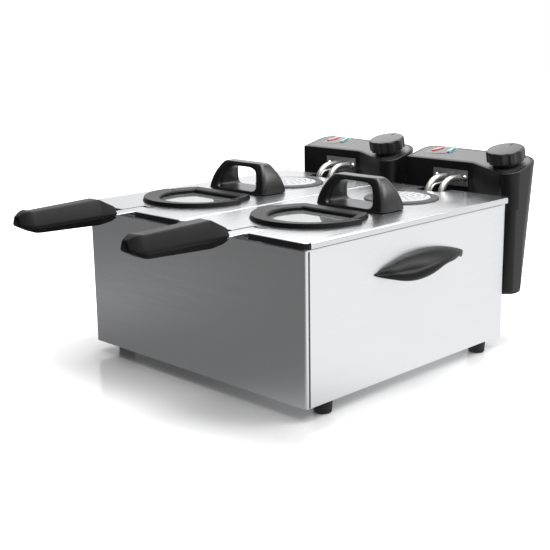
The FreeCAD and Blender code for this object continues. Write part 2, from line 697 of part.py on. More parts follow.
def filter_ring():
    """Grey ring on the lid with the cup under it that holds the mat."""
    cup_in = FILTER_CUP_R - FILTER_CUP_T
    floor = FILTER_CUP_T - FILTER_CUP_D
    seat = COVER_R - COVER_STEP
    mouth = COVER_R + COVER_CLEAR
    fall = FILTER_RING_H - FILTER_RING_FALL
    lip = seat - FILTER_CUP_LIP
    profile = [(lip, -FILTER_CUP_D), (FILTER_CUP_R, -FILTER_CUP_D), (FILTER_CUP_R, 0), (FILTER_R, 0),
               (FILTER_R - FILTER_RING_EDGE, fall), (COVER_R + FILTER_RING_INNER, FILTER_RING_H),
               (mouth, fall), (mouth, COVER_SEAT), (seat, COVER_SEAT), (seat, -FILTER_NECK),
               (cup_in, -2 * FILTER_NECK), (cup_in, floor), (lip, floor)]
    return revolve(profile, 0, FILTER_Y, LID_TOP)


def filter_cover():
    """Crowned white cover with rings of short slots."""
    top = COVER_T + COVER_DOME
    flat = COVER_R - COVER_BEVEL
    half_w = COVER_SLOT_W / 2
    cover = revolve([(0, COVER_DOME), (flat - COVER_T, COVER_DOME), (COVER_R - COVER_T, 0), (COVER_R, 0),
                     (COVER_R, COVER_T), (flat, top), (0, top)])
    slots = []
    for ring in range(1, COVER_RINGS + 1):
        radius = ring * (flat - COVER_SLOT_W) / COVER_RINGS
        count = COVER_RING_SLOTS * ring
        for i in range(count):
            slot = block(radius - half_w, radius + half_w, -COVER_SLOT_L / 2, COVER_SLOT_L / 2, 0, top)
            slot.rotate(V(0, 0, 0), V(0, 0, 1), 360 * (i + ring / 2) / count)
            slots.append(slot)
    cover = cover.cut(slots)
    cover.translate(V(0, FILTER_Y, LID_TOP + COVER_SEAT))
    return cover


def filter_mat():
    """Absorbent mat in the filter cup."""
    z0 = LID_TOP - FILTER_CUP_D + FILTER_CUP_T
    radius = FILTER_CUP_R - FILTER_CUP_T - MAT_CLEAR
    return Part.makeCylinder(radius, LID_TOP - 2 * FILTER_NECK - z0, V(0, FILTER_Y, z0))


def spread(low, high, pitch):
    """Centres of as many mesh gaps as fit between two ends, a pitch apart and centred."""
    count = int((high - low) / pitch)
    return [(low + high) / 2 + (i - (count - 1) / 2) * pitch for i in range(count)]


def basket():
    """Wire basket: open top, mesh walls and floor, round rim."""
    half, w, o = BASKET_HALF, BASKET_WIRE, BASKET_RIM_OUT
    z0, z1 = BASKET_FLOOR, BASKET_TOP
    outer = prism(box_corners(-half, half, BASKET_FRONT, BASKET_REAR, BASKET_CORNER), z0, z1)
    inside = box_corners(-half + w, half - w, BASKET_FRONT + w, BASKET_REAR - w, BASKET_CORNER - w)
    inner = prism(inside, z0 + w, z1)
    xs = spread(-half + BASKET_CORNER, half - BASKET_CORNER, MESH_PITCH)
    ys = spread(BASKET_FRONT + BASKET_CORNER, BASKET_REAR - BASKET_CORNER, MESH_PITCH)
    zs = spread(z0 + w, z1 - BASKET_RIM, MESH_PITCH)
    g = (MESH_PITCH - MESH_WIRE) / 2
    cuts = [block(x - g, x + g, y - g, y + g, z0 - w, z0 + 2 * w) for x in xs for y in ys]
    for z in zs:
        cuts += [block(x - g, x + g, BASKET_FRONT - w, BASKET_REAR + w, z - g, z + g) for x in xs]
        cuts += [block(-half - w, half + w, y - g, y + g, z - g, z + g) for y in ys]
    rim = prism(box_corners(-half - o, half + o, BASKET_FRONT - o, BASKET_REAR + o, BASKET_CORNER + o),
                z1 - BASKET_RIM, z1)
    return outer.fuse(rim).cut([inner] + cuts)


def handle_strap():
    """Flat steel strap from the grip, level with the lid, then down to the basket's front."""
    top, t = STRAP_TOP, STRAP_T
    rear = BASKET_FRONT - BASKET_RIM_OUT
    start = GRIP_START - STRAP_TONGUE
    low = top - STRAP_DROP
    b = STRAP_BEND
    outer_c = V(0, rear - b - t, top - b - t)
    diagonal = V(0, math.sqrt(0.5), math.sqrt(0.5))
    edges = [Part.LineSegment(V(0, start, top - t), V(0, start, top)),
             Part.LineSegment(V(0, start, top), V(0, outer_c.y, top)),
             Part.Arc(V(0, outer_c.y, top), outer_c + diagonal * (b + t), V(0, rear, outer_c.z)),
             Part.LineSegment(V(0, rear, outer_c.z), V(0, rear, low)),
             Part.LineSegment(V(0, rear, low), V(0, rear - t, low)),
             Part.LineSegment(V(0, rear - t, low), V(0, rear - t, outer_c.z)),
             Part.Arc(V(0, rear - t, outer_c.z), outer_c + diagonal * b, V(0, outer_c.y, top - t)),
             Part.LineSegment(V(0, outer_c.y, top - t), V(0, start, top - t))]
    strap = Part.Face(Part.Wire([e.toShape() for e in edges])).extrude(V(STRAP_W, 0, 0))
    strap.translate(V(-STRAP_W / 2, 0, 0))
    return strap


def grip_size(back):
    """Half width, rise and drop of the grip at a distance from its strap end."""
    tail = GRIP_L - GRIP_TIP_L
    slope = min(back / GRIP_SLOPE_L, 1.0)
    foot = min(back / GRIP_FOOT_L, 1.0)
    fade = min(max(back - GRIP_SLOPE_L, 0.0) / (tail - GRIP_SLOPE_L), 1.0)
    tip = max(back - tail, 0.0) / GRIP_TIP_L
    blunt = math.sqrt(1 - (GRIP_TIP_ROUND * tip) ** 2)
    width = GRIP_NECK_W + (GRIP_W - GRIP_NECK_W) * slope + (GRIP_TAIL_W - GRIP_W) * fade
    rise = GRIP_NECK_RISE + (GRIP_RISE - GRIP_NECK_RISE) * slope + (GRIP_TAIL_RISE - GRIP_RISE) * fade
    drop = GRIP_NECK_DROP + (GRIP_DROP - GRIP_NECK_DROP) * foot + (GRIP_TAIL_DROP - GRIP_DROP) * fade
    return width / 2 * blunt, rise * blunt, drop * blunt


def grip_shell(upper):
    """Half of the basket grip: faceted bar, sloped up from the strap, that narrows to a blunt tip."""
    tail = GRIP_L - GRIP_TIP_L
    wires = []
    for back in (0.0, GRIP_FOOT_L, GRIP_SLOPE_L, tail, GRIP_L - GRIP_TIP_L / 3, GRIP_L):
        half, rise, drop = grip_size(back)
        y = GRIP_START - back
        tall = rise if upper else -drop
        flat = half * (GRIP_TOP_FLAT if upper else GRIP_FOOT_FLAT)
        waist = STRAP_TOP + tall * GRIP_WAIST
        ring = [V(-half, y, STRAP_TOP), V(half, y, STRAP_TOP), V(half, y, waist),
                V(flat, y, STRAP_TOP + tall), V(-flat, y, STRAP_TOP + tall), V(-half, y, waist)]
        wires.append(Part.makePolygon(ring + ring[:1]))
    shell = Part.makeLoft(wires, True, True)
    if not upper:
        wide, deep = STRAP_W / 2 + GRIP_CLEAR, STRAP_TONGUE + GRIP_CLEAR
        tongue = block(-wide, wide, GRIP_START - deep, GRIP_START + CUT_OVER, STRAP_TOP - STRAP_T, STRAP_TOP)
        shell = shell.cut(tongue)
    return shell


def lobe_slope():
    """How fast the front runs forward to the knob's lobe, for the lobe's nose to end at the unit's front."""
    dx = UNIT_RIGHT - UNIT_NOSE_R - UNIT_LOBE_X
    dy = UNIT_FRONT + UNIT_NOSE_R - UNIT_RECESS_Y
    return -math.tan(math.atan2(dy, dx) - math.asin(UNIT_NOSE_R / math.hypot(dx, dy)))


def unit_front_corners(inset):
    """Front of the control unit's outline seen from above, left to right, drawn in by inset."""
    slope = lobe_slope()
    lead = UNIT_RIGHT - inset
    recess = UNIT_RECESS_Y + inset
    lobe_x = UNIT_LOBE_X - inset * (math.sqrt(1 + slope ** 2) - 1) / slope
    nose_y = recess - (lead - lobe_x) * slope
    return [(UNIT_LEFT + inset, recess, UNIT_CORNER), (lobe_x, recess, UNIT_LOBE_BLEND + inset),
            (lead, nose_y, UNIT_NOSE_R - inset)]


def rear_plane():
    """Point at the left of the unit's leaning rear face, at its top, and the face's outward normal."""
    high_left = V(UNIT_LEFT, REAR + UNIT_DEPTH_LEFT, UNIT_HIGH)
    high_right = V(UNIT_RIGHT, REAR + UNIT_DEPTH_RIGHT, UNIT_HIGH)
    low_left = V(UNIT_LEFT, REAR + UNIT_DEPTH_LEFT - UNIT_TAPER, UNIT_LOW)
    return high_left, (high_right - high_left).cross(low_left - high_left).normalize()


def rear_face_y(x, z):
    """Depth of the unit's rear face at a place on it."""
    point, normal = rear_plane()
    return point.y - (normal.x * (x - point.x) + normal.z * (z - point.z)) / normal.y


def above_top(offset):
    """Space above the unit's sloping top, lowered by offset along the top's normal."""
    return beyond(V(0, UNIT_FRONT, unit_top_z(UNIT_FRONT)) - TOP_AXIS * offset, TOP_AXIS)


def behind_rear(offset):
    """Space behind the unit's rear face, moved forward by offset along the face's normal."""
    point, normal = rear_plane()
    return beyond(point - normal * offset, normal)


def unit_column(inset, low, high):
    """Unit's plan carried up between two heights, cut by the leaning rear face, its rear corners rounded."""
    back = REAR + 2 * UNIT_DEPTH_LEFT
    corners = unit_front_corners(inset) + [(UNIT_RIGHT - inset, back, 0), (UNIT_LEFT + inset, back, 0)]
    column = prism(corners, low, high).cut(behind_rear(inset))

    def rear_edge(x):
        mid = (low + high) / 2
        spot = V(x, rear_face_y(x, mid) - inset, mid)
        return min(column.Edges, key=lambda e: e.distToShape(Part.Vertex(spot))[0])
    column = column.makeFillet(UNIT_REAR_R_LEFT - inset, [rear_edge(UNIT_LEFT + inset)])
    return column.makeFillet(UNIT_REAR_R_RIGHT - inset, [rear_edge(UNIT_RIGHT - inset)])


def unit_body(inset):
    """Body of the control unit up to the sloping top, all faces drawn in by inset."""
    return unit_column(inset, UNIT_LOW + inset, UNIT_HIGH).cut(above_top(inset))


def softened_top(body):
    """Round the edge all round the sloping top."""
    def on_slope(edge):
        middle = edge.valueAt((edge.FirstParameter + edge.LastParameter) / 2)
        points = [v.Point for v in edge.Vertexes] + [middle]
        return all(abs(point.z - unit_top_z(point.y)) < SAME_SLOPE for point in points)
    return body.makeFillet(UNIT_TOP_EDGE, [e for e in body.Edges if on_slope(e)])


def unit_shoulder():
    """Lower front of the unit that fills the space up to the housing's rear wall."""
    y1 = UNIT_RECESS_Y + UNIT_WALL
    corners = [(UNIT_LEFT, UNIT_FRONT, UNIT_SHOULDER_R_LEFT), (UNIT_RIGHT, UNIT_FRONT, UNIT_SHOULDER_R_RIGHT),
               (UNIT_RIGHT, y1, 0), (UNIT_LEFT, y1, 0)]
    shoulder = prism(corners, UNIT_LOW, HOUSING_TOP - UNIT_SHOULDER_DROP)
    return shoulder.makeFillet(UNIT_FOOT_EDGE, horizontal_edges(shoulder, UNIT_LOW)[:1])


def guide_slots():
    """T-slots, open below, that run over the rails on the housing's rear wall."""
    c = GUIDE_CLEAR
    y0 = UNIT_FRONT + UNIT_WALL
    low = UNIT_LOW - CUT_OVER
    stem, head = GUIDE_STEM_W / 2 + c, GUIDE_W / 2 + c
    cuts = []
    for x in (-GUIDE_X, GUIDE_X):
        cuts.append(block(x - stem, x + stem, UNIT_FRONT - CUT_OVER, y0 + CUT_OVER, low, GUIDE_TOP))
        cuts.append(block(x - head, x + head, y0 - c, y0 + GUIDE_HEAD_T + c, low, GUIDE_TOP))
    return cuts


def on_top(shape, x, y):
    """Place a shape that was drawn upright at the origin on the unit's sloping top."""
    shape.rotate(V(0, 0, 0), V(1, 0, 0), UNIT_TILT)
    shape.translate(V(x, y, unit_top_z(y)))
    return shape


def fascia_prism(clear):
    """Inset panel outline carried straight down through the top."""
    return unit_column(FASCIA_IN - clear, HOUSING_TOP, UNIT_HIGH + UNIT_WALL)


def capsule(length, width, z0, z1):
    """Upright bar with round ends."""
    long, wide = length / 2, width / 2
    return prism(box_corners(-long, long, -wide, wide, wide * END_ROUNDING), z0, z1)


def lamp(name, clear=0.0, proud=LAMP_PROUD):
    """Lamp lens set into the panel."""
    places = {"power_lamp": (POWER_LAMP_IN, POWER_LAMP_BACK, POWER_LAMP_TURN),
              "ready_lamp": (READY_LAMP_IN, READY_LAMP_BACK, READY_LAMP_TURN)}
    inward, back, turn = places[name]
    lens = capsule(LAMP_L + 2 * clear, LAMP_W + 2 * clear, -FASCIA_T, proud)
    lens.rotate(V(0, 0, 0), V(0, 0, 1), turn)
    return on_top(lens, UNIT_LEFT + inward, REAR + back)


def shaft_hole():
    """Passage for the spindle through the panel and the top under it."""
    depth = UNIT_WALL + CUT_OVER
    hole = Part.makeCylinder(SHAFT_R + SHAFT_HOLE_CLEAR, depth + CUT_OVER, V(0, 0, -depth))
    return on_top(hole, KNOB_X, KNOB_Y)


def control_fascia():
    """Inset top panel with openings for the shaft and the lamps."""
    panel = fascia_prism(0.0).cut(above_top(0.0)).common(above_top(FASCIA_T))
    lamps = [lamp(name, RUNNING_FIT, LAMP_PROUD + CUT_OVER) for name in ("power_lamp", "ready_lamp")]
    return panel.cut([shaft_hole()] + lamps)


def control_shell():
    """Hollow body of the unit with every opening, before it is parted."""
    body = fuse(softened_top(unit_body(0.0)), unit_shoulder())
    recess = fascia_prism(FASCIA_CLEAR).common(above_top(FASCIA_T))
    front, through = UNIT_RECESS_Y - CUT_OVER, UNIT_WALL + 2 * CUT_OVER
    tubes = [rod(ELEMENT_R + ELEMENT_CLEAR, through, x, front, ELEMENT_ROOT_Z) for x in leg_xs()]
    screws = [rod(SCREW_R + SCREW_CLEAR, through, x, front, PLATE_Z) for x in plate_screw_xs()]
    sensor = rod(SENSOR_R + ELEMENT_CLEAR, through, ELEMENT_X, front, ELEMENT_ROOT_Z - SENSOR_BELOW)
    deep = 2 * UNIT_WALL
    button = rod(RESET_R + RESET_CLEAR, 2 * deep, RESET_X, rear_face_y(RESET_X, RESET_Z) - deep, RESET_Z)
    inlet = rod(INLET_R, 2 * deep, INLET_X, rear_face_y(INLET_X, INLET_Z) - deep, INLET_Z)
    cuts = [unit_body(UNIT_WALL), recess, shaft_hole(), sensor, button, inlet]
    return body.cut(cuts + tubes + screws + guide_slots())


def leg_xs():
    """Centre lines of the element's two legs."""
    return (ELEMENT_X - ELEMENT_SPACING / 2, ELEMENT_X + ELEMENT_SPACING / 2)


def plate_screw_xs():
    """Centre lines of the element plate's screws."""
    return (PLATE_X - PLATE_SCREW_PITCH / 2, PLATE_X + PLATE_SCREW_PITCH / 2)


def knob():
    """Scalloped dial with a blind bore for the shaft and a pointer groove."""
    base = KNOB_LIFT + KNOB_BASE_H
    collar = KNOB_R - KNOB_BASE_IN
    body = revolve([(0, KNOB_LIFT), (collar, KNOB_LIFT), (collar, base), (KNOB_R, base),
                    (KNOB_R, KNOB_H - KNOB_EDGE), (KNOB_R - KNOB_EDGE / 3, KNOB_H - KNOB_EDGE / 3),
                    (KNOB_R - KNOB_EDGE, KNOB_H), (0, KNOB_H + KNOB_CROWN)])
    reach = KNOB_R + KNOB_SCALLOP_R - KNOB_SCALLOP_DEPTH
    cuts = []
    for i in range(KNOB_SCALLOPS):
        a = 2 * math.pi * (i + 0.5) / KNOB_SCALLOPS
        axis = V(reach * math.cos(a), reach * math.sin(a), 0)
        cuts.append(Part.makeCylinder(KNOB_SCALLOP_R, KNOB_H + KNOB_CROWN, axis))
    end, half = KNOB_R - POINTER_IN, POINTER_W / 2
    cuts.append(block(-half, half, end - POINTER_L, end, KNOB_H - POINTER_DEPTH, 2 * KNOB_H))
    cuts.append(Part.makeCylinder(SHAFT_R + SHAFT_PRESS_CLEAR, SHAFT_IN_KNOB, V(0, 0, KNOB_LIFT)))
    return on_top(body.cut(cuts), KNOB_X, KNOB_Y)


def knob_shaft():
    """Spindle between the thermostat and the knob."""
    low = -UNIT_WALL - BUSH_H - THERMOSTAT_H / 2
    return on_top(Part.makeCylinder(SHAFT_R, KNOB_LIFT + SHAFT_IN_KNOB - low, V(0, 0, low)), KNOB_X, KNOB_Y)


def thermostat():
    """Switch block under the top with the bush that carries the spindle."""
    seat = -UNIT_WALL - BUSH_H
    half_w, half_d = THERMOSTAT_W / 2, THERMOSTAT_D / 2
    case = prism(box_corners(-half_w, half_w, -half_d, half_d, THERMOSTAT_CORNER), seat - THERMOSTAT_H, seat)
    bush = Part.makeCylinder(BUSH_R, BUSH_H, V(0, 0, seat))
    depth = THERMOSTAT_H / 2 + RUNNING_FIT
    bore = Part.makeCylinder(SHAFT_R + RUNNING_FIT, BUSH_H + depth, V(0, 0, seat - depth))
    return on_top(fuse(case, bush).cut(bore), KNOB_X, KNOB_Y)


def reset_button():
    """Push button of the safety cut-out in the rear cover."""
    end = rear_face_y(RESET_X, RESET_Z) + RESET_PROUD
    button = rod(RESET_R, RESET_L, RESET_X, end - RESET_L, RESET_Z)
    return button.makeFillet(RESET_EDGE, [e for e in button.Edges if e.BoundBox.YMin > end - RESET_EDGE])


def element_plate():
    """Steel plate on the unit's front that holds the element's legs."""
    plate = block(PLATE_X - PLATE_W / 2, PLATE_X + PLATE_W / 2, UNIT_RECESS_Y - PLATE_T, UNIT_RECESS_Y,
                  PLATE_Z - PLATE_H / 2, PLATE_Z + PLATE_H / 2)
    y, through = UNIT_RECESS_Y - PLATE_T - CUT_OVER, PLATE_T + 2 * CUT_OVER
    holes = [rod(ELEMENT_R + ELEMENT_CLEAR, through, x, y, ELEMENT_ROOT_Z) for x in leg_xs()]
    holes += [rod(SCREW_R + SCREW_CLEAR, through, x, y, PLATE_Z) for x in plate_screw_xs()]
    holes.append(rod(SENSOR_R + ELEMENT_CLEAR, through, ELEMENT_X, y, ELEMENT_ROOT_Z - SENSOR_BELOW))
    return plate.cut(holes)


def element_screws():
    """Two pan-head screws through the element plate."""
    solids = []
    for x in plate_screw_xs():
        solid = screw(PLATE_T + UNIT_WALL)
        solid.rotate(V(0, 0, 0), V(1, 0, 0), -90)
        solid.translate(V(x, UNIT_RECESS_Y - PLATE_T, PLATE_Z))
        solids.append(solid)
    return Part.makeCompound(solids)


def heating_element():
    """One sheathed tube: out of the plate, down into the pot, round a wide loop and back."""
    left, right = leg_xs()
    start = UNIT_RECESS_Y + ELEMENT_IN_WALL
    root, floor = ELEMENT_ROOT_Z, ELEMENT_Z
    turn_y = ELEMENT_SPREAD_Y + ELEMENT_SPREAD_L
    x0, x1 = ELEMENT_LOOP_X - ELEMENT_W / 2, ELEMENT_LOOP_X + ELEMENT_W / 2
    points = [(left, start, root), (left, ELEMENT_DROP_Y, root), (left, ELEMENT_DROP_Y, floor),
              (left, turn_y, floor), (x0, ELEMENT_SPREAD_Y, floor), (x0, ELEMENT_FRONT, floor),
              (x1, ELEMENT_FRONT, floor), (x1, ELEMENT_SPREAD_Y, floor), (right, turn_y, floor),
              (right, ELEMENT_DROP_Y, floor), (right, ELEMENT_DROP_Y, root), (right, start, root)]
    half_way = [ELEMENT_BEND, ELEMENT_FLOOR_BEND, ELEMENT_SPREAD_BEND, ELEMENT_SPREAD_BEND,
                ELEMENT_FRONT_BEND]
    return pipe(points, half_way + half_way[::-1], ELEMENT_R)


def sensor_tube():
    """Capillary from the plate with the thermostat's bulb at its end, inside the element's loop."""
    start = UNIT_RECESS_Y + ELEMENT_IN_WALL
    root = ELEMENT_ROOT_Z - SENSOR_BELOW
    end = SENSOR_DROP_Y - SENSOR_END_L
    points = [(ELEMENT_X, start, root), (ELEMENT_X, SENSOR_DROP_Y, root),
              (ELEMENT_X, SENSOR_DROP_Y, ELEMENT_Z), (ELEMENT_X, end, ELEMENT_Z)]
    tube = pipe(points, [SENSOR_BEND, SENSOR_BEND], SENSOR_R)
    return fuse(tube, rod(BULB_R, BULB_L, ELEMENT_X, end - BULB_L + BULB_LAP, ELEMENT_Z))


def station(side):
    """All pieces of one cooking station, named for their side."""
    shell = control_shell()
    rear = behind_rear(COVER_DEPTH)
    pieces = {"oil_pot": oil_pot(side), "lid_panel": lid_panel(side), "window_frame": window_frame(),
              "window_glass": window_glass(), "lid_handle": lid_handle(),
              "lid_handle_screws": lid_handle_screws(), "filter_ring": filter_ring(),
              "filter_cover": filter_cover(), "filter_mat": filter_mat(), "basket": basket(),
              "handle_strap": handle_strap(), "grip_upper": grip_shell(True),
              "grip_lower": grip_shell(False), "control_housing": shell.cut(rear),
              "control_cover": shell.common(rear), "control_fascia": control_fascia(),
              "thermostat": thermostat(), "knob_shaft": knob_shaft(), "knob": knob(),
              "power_lamp": lamp("power_lamp"), "ready_lamp": lamp("ready_lamp"),
              "reset_button": reset_button(), "element_plate": element_plate(),
              "element_screws": element_screws(), "heating_element": heating_element(),
              "sensor_tube": sensor_tube()}
    label = "right" if side > 0 else "left"
    placed = {}
    for name, shape in pieces.items():
        shape.translate(V(side * STATION_PITCH / 2, 0, 0))
        placed[name + "_" + label] = shape
    return placed


def main():
    """Build every piece, centre the whole on its footprint and write one file for each."""
    pieces = {"housing_shell": housing_shell(), "base_plate": base_plate(), "feet": feet(),
              "centre_rail": centre_rail(), "control_guides": control_guides(),
              "side_handle_left": side_handle(-1), "side_handle_right": side_handle(1)}
    for side in (-1, 1):
        pieces.update(station(side))
    extent = FreeCAD.BoundBox()
    for shape in pieces.values():
        extent.add(shape.optimalBoundingBox(True, False))
    shift = V(-extent.Center.x, -extent.Center.y, -extent.ZMin)
    print("shift to the footprint's centre", [round(v, 4) for v in shift])
    print("overall size", round(extent.XLength, 2), round(extent.YLength, 2), round(extent.ZLength, 2))
    os.makedirs("parts", exist_ok=True)
    for name, shape in pieces.items():
        shape.translate(shift)
        print(name, len(shape.Solids), shape.isValid(), round(shape.Volume))
        shape.exportStep("parts/" + name + ".step")


main()
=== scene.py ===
"""Looks of a table-top deep fryer with two oil pots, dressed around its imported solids.

The pieces' sizes are in millimetres, and the studio's in metres unless their names say otherwise.
"""

import json
import logging
import math
from dataclasses import dataclass
from enum import Enum
from functools import cache, partial
from typing import Any, Optional, Sequence

import bmesh
import bpy
import numpy as np
from mathutils import Matrix, Vector


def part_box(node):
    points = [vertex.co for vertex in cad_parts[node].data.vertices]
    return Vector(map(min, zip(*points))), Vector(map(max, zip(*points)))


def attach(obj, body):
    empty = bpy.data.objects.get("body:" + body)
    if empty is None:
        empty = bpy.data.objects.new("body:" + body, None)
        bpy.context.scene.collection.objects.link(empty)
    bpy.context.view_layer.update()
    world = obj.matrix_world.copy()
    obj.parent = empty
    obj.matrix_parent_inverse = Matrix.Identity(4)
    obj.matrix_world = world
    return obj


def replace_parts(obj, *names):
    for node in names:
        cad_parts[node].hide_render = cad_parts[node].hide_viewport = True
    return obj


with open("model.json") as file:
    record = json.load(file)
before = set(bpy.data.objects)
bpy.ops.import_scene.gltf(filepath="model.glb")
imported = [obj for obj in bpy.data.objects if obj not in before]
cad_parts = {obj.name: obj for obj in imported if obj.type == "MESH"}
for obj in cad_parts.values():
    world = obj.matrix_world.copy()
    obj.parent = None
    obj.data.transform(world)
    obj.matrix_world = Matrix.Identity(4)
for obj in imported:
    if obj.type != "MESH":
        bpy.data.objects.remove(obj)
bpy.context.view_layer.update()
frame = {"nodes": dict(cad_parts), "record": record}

LOG = logging.getLogger("fryer")
MM = 0.001
SIDES = ("left", "right")
WHITE = (1.0, 1.0, 1.0, 1.0)
NODE_BODY = {node: body for body, nodes in frame["record"]["behaviour"]["bodies"].items() for node in nodes}

Pair = tuple[float, float]
Point = tuple[float, float, float]
Row = tuple[float, ...]
Tree = bpy.types.NodeTree
Socket = bpy.types.NodeSocket


def linear(code: str) -> tuple[float, float, float, float]:
    """Turn an sRGB hex colour into linear light.

    Args:
        code: colour such as "c8c8ca".

    Returns:
        Red, green, blue and alpha in linear light.
    """
    parts = np.array([int(code[i:i + 2], 16) for i in (0, 2, 4)]) / 255.0
    light = np.where(parts <= 0.04045, parts / 12.92, ((parts + 0.055) / 1.055) ** 2.4)
    return (*map(float, light), 1.0)


def add_node(tree: Tree, kind: str, inputs: Optional[dict[Any, Any]] = None,
             **settings: Any) -> bpy.types.Node:
    """Add a shader node, set its properties and fill its inputs.

    Args:
        tree: where to add it.
        kind: Blender's type of shader node, such as "Mix".
        inputs: socket name or index to a plain value or to another node's output socket.
        settings: properties of the node itself.

    Returns:
        The new node.
    """
    node = tree.nodes.new("ShaderNode" + kind)
    for key, value in settings.items():
        setattr(node, key, value)
    for key, value in (inputs or {}).items():
        if isinstance(value, Socket):
            tree.links.new(value, node.inputs[key])
        else:
            node.inputs[key].default_value = value
    return node


def graded(tree: Tree, value: Socket, span: Pair, levels: Pair, kind: str = "SMOOTHSTEP") -> Socket:
    """Grade a value from one level to another.

    Args:
        tree: where to add it.
        value: the socket to read.
        span: the values between which the level changes.
        levels: the levels before and after.
        kind: how Blender goes from one to the other.

    Returns:
        The socket with the level.
    """
    node = add_node(tree, "MapRange", {
        "Value": value, "From Min": span[0], "From Max": span[1], "To Min": levels[0], "To Max": levels[1]},
        interpolation_type=kind)
    return node.outputs["Result"]


def vector_math(tree: Tree, operation: str, first: Socket, second: Point = (0.0, 0.0, 0.0)) -> Socket:
    """Work out one operation on vectors.

    Args:
        tree: where to add it.
        operation: Blender's name for it.
        first: the socket to read.
        second: the other vector, for operations on two.

    Returns:
        The socket with the result.
    """
    node = add_node(tree, "VectorMath", {0: first, 1: second}, operation=operation)
    return node.outputs["Value" if operation in ("DOT_PRODUCT", "LENGTH", "DISTANCE") else "Vector"]


def empty_tree(owner: Any) -> Tree:
    """Give a material or a world a node tree of its own.

    Args:
        owner: the material or the world.

    Returns:
        Its tree, with nothing in it.
    """
    owner.use_nodes = True
    owner.node_tree.nodes.clear()
    return owner.node_tree


def add_object(name: str, data: Any) -> bpy.types.Object:
    """Add an object to the scene.

    Args:
        name: the object's name.
        data: its mesh, camera or light.

    Returns:
        The new object.
    """
    obj = bpy.data.objects.new(name, data)
    bpy.context.scene.collection.objects.link(obj)
    return obj


class Surface(Enum):
    """How a surface was made, which says whether light passes through it."""

    BRUSHED = "brushed along one direction"
    MOULDED = "moulded against a grained tool"
    SMOOTH = "polished or drawn"
    FELTED = "felted fibre"
    LENS = "clear coloured lens"
    PANE = "clear pane"


# The share of light that passes
CLEARNESS = {Surface.LENS: 0.3, Surface.PANE: 0.8}
# The grain that all finishes share: its noise, the middle stretch that counts and how far tones are evened
NOISE_DETAIL = 3.0
NOISE_ROUGHNESS = 0.6
NOISE_SPAN = (0.3, 0.7)
TONE_EVENED = 0.8
SMOOTHEST = 0.02
# Sockets that share their names with others, by number: the ends of a vector range and a mix of two colours
RANGE_FROM_LOW, RANGE_FROM_HIGH, RANGE_TO_LOW, RANGE_TO_HIGH = 7, 8, 9, 10
MIX_FIRST, MIX_SECOND, MIX_RESULT = 6, 7, 2


@dataclass(frozen=True)
class Finish:
    """One material: what it is, how it was made and what the eye gets from that."""

    name: str
    colour: str
    roughness: float
    surface: Surface = Surface.SMOOTH
    metallic: float = 0.0
    ior: float = 1.5
    spread: float = 0.06
    pitch_mm: float = 1.0
    bump_mm: float = 0.02
    streak: Point = (1.0, 1.0, 1.0)
    shade: float = 0.06
    coat: float = 0.0
    shine: float = 0.5

    @cache
    def build(self) -> bpy.types.Material:
        """Make the material with its pattern, once.

        Returns:
            The finished material.
        """
        material = bpy.data.materials.new(self.name)
        tree = empty_tree(material)
        shader = add_node(tree, "BsdfPrincipled", {
            "Base Color": linear(self.colour), "Metallic": self.metallic, "Roughness": self.roughness,
            "Coat Weight": self.coat, "Coat Roughness": self.roughness, "Specular IOR Level": self.shine,
            "Transmission Weight": CLEARNESS.get(self.surface, 0.0)})
        if not self.metallic:
            shader.inputs["IOR"].default_value = self.ior
        self.pattern(tree, shader)
        add_node(tree, "OutputMaterial", {"Surface": shader.outputs["BSDF"]})
        return material

    def pattern(self, tree: Tree, shader: bpy.types.Node) -> None:
        """Vary roughness, tone and height with a noise whose cells are pitch_mm across.

        Args:
            tree: the material's node tree.
            shader: the principled shader to drive.
        """
        where = add_node(tree, "TexCoord").outputs["Object"]
        scaled = add_node(tree, "Mapping", {"Vector": where, "Scale": self.streak})
        noise = add_node(tree, "TexNoise", {
            "Vector": scaled.outputs["Vector"], "Scale": 1.0 / (self.pitch_mm * MM),
            "Detail": NOISE_DETAIL, "Roughness": NOISE_ROUGHNESS})
        limits = max(self.roughness - self.spread, SMOOTHEST), self.roughness + self.spread
        rough = graded(tree, noise.outputs["Fac"], NOISE_SPAN, limits, "LINEAR")
        tree.links.new(rough, shader.inputs["Roughness"])
        colour = linear(self.colour)
        dark, light = (tuple(part * (1 + turn * self.shade) for part in colour[:3]) for turn in (-1, 1))
        tone = add_node(tree, "MapRange", {
            "Vector": noise.outputs["Color"], RANGE_FROM_LOW: NOISE_SPAN[:1] * 3,
            RANGE_FROM_HIGH: NOISE_SPAN[1:] * 3, RANGE_TO_LOW: dark, RANGE_TO_HIGH: light},
            data_type="FLOAT_VECTOR")
        even = add_node(tree, "Mix", {
            0: TONE_EVENED, MIX_FIRST: tone.outputs["Vector"], MIX_SECOND: colour}, data_type="RGBA")
        tree.links.new(even.outputs[MIX_RESULT], shader.inputs["Base Color"])
        bump = add_node(tree, "Bump", {
            "Height": noise.outputs["Fac"], "Strength": 1.0, "Distance": self.bump_mm * MM})
        tree.links.new(bump.outputs["Normal"], shader.inputs["Normal"])


# Families of finishes
steel = partial(Finish, metallic=1.0)
plastic = partial(Finish, surface=Surface.MOULDED, spread=0.05)
tinted = partial(Finish, surface=Surface.LENS, ior=1.49, spread=0.03, pitch_mm=1.5, bump_mm=0.008, coat=0.6)

# Sheet steel ground with a fine belt shows faint level streaks; grit lines of 0.1 mm are drawn at 0.8 mm.
SATIN_STEEL = steel("satin_stainless_sheet", "e4e5e7", 0.34, Surface.BRUSHED, pitch_mm=0.8, bump_mm=0.003,
                    streak=(0.015, 0.015, 1.0))
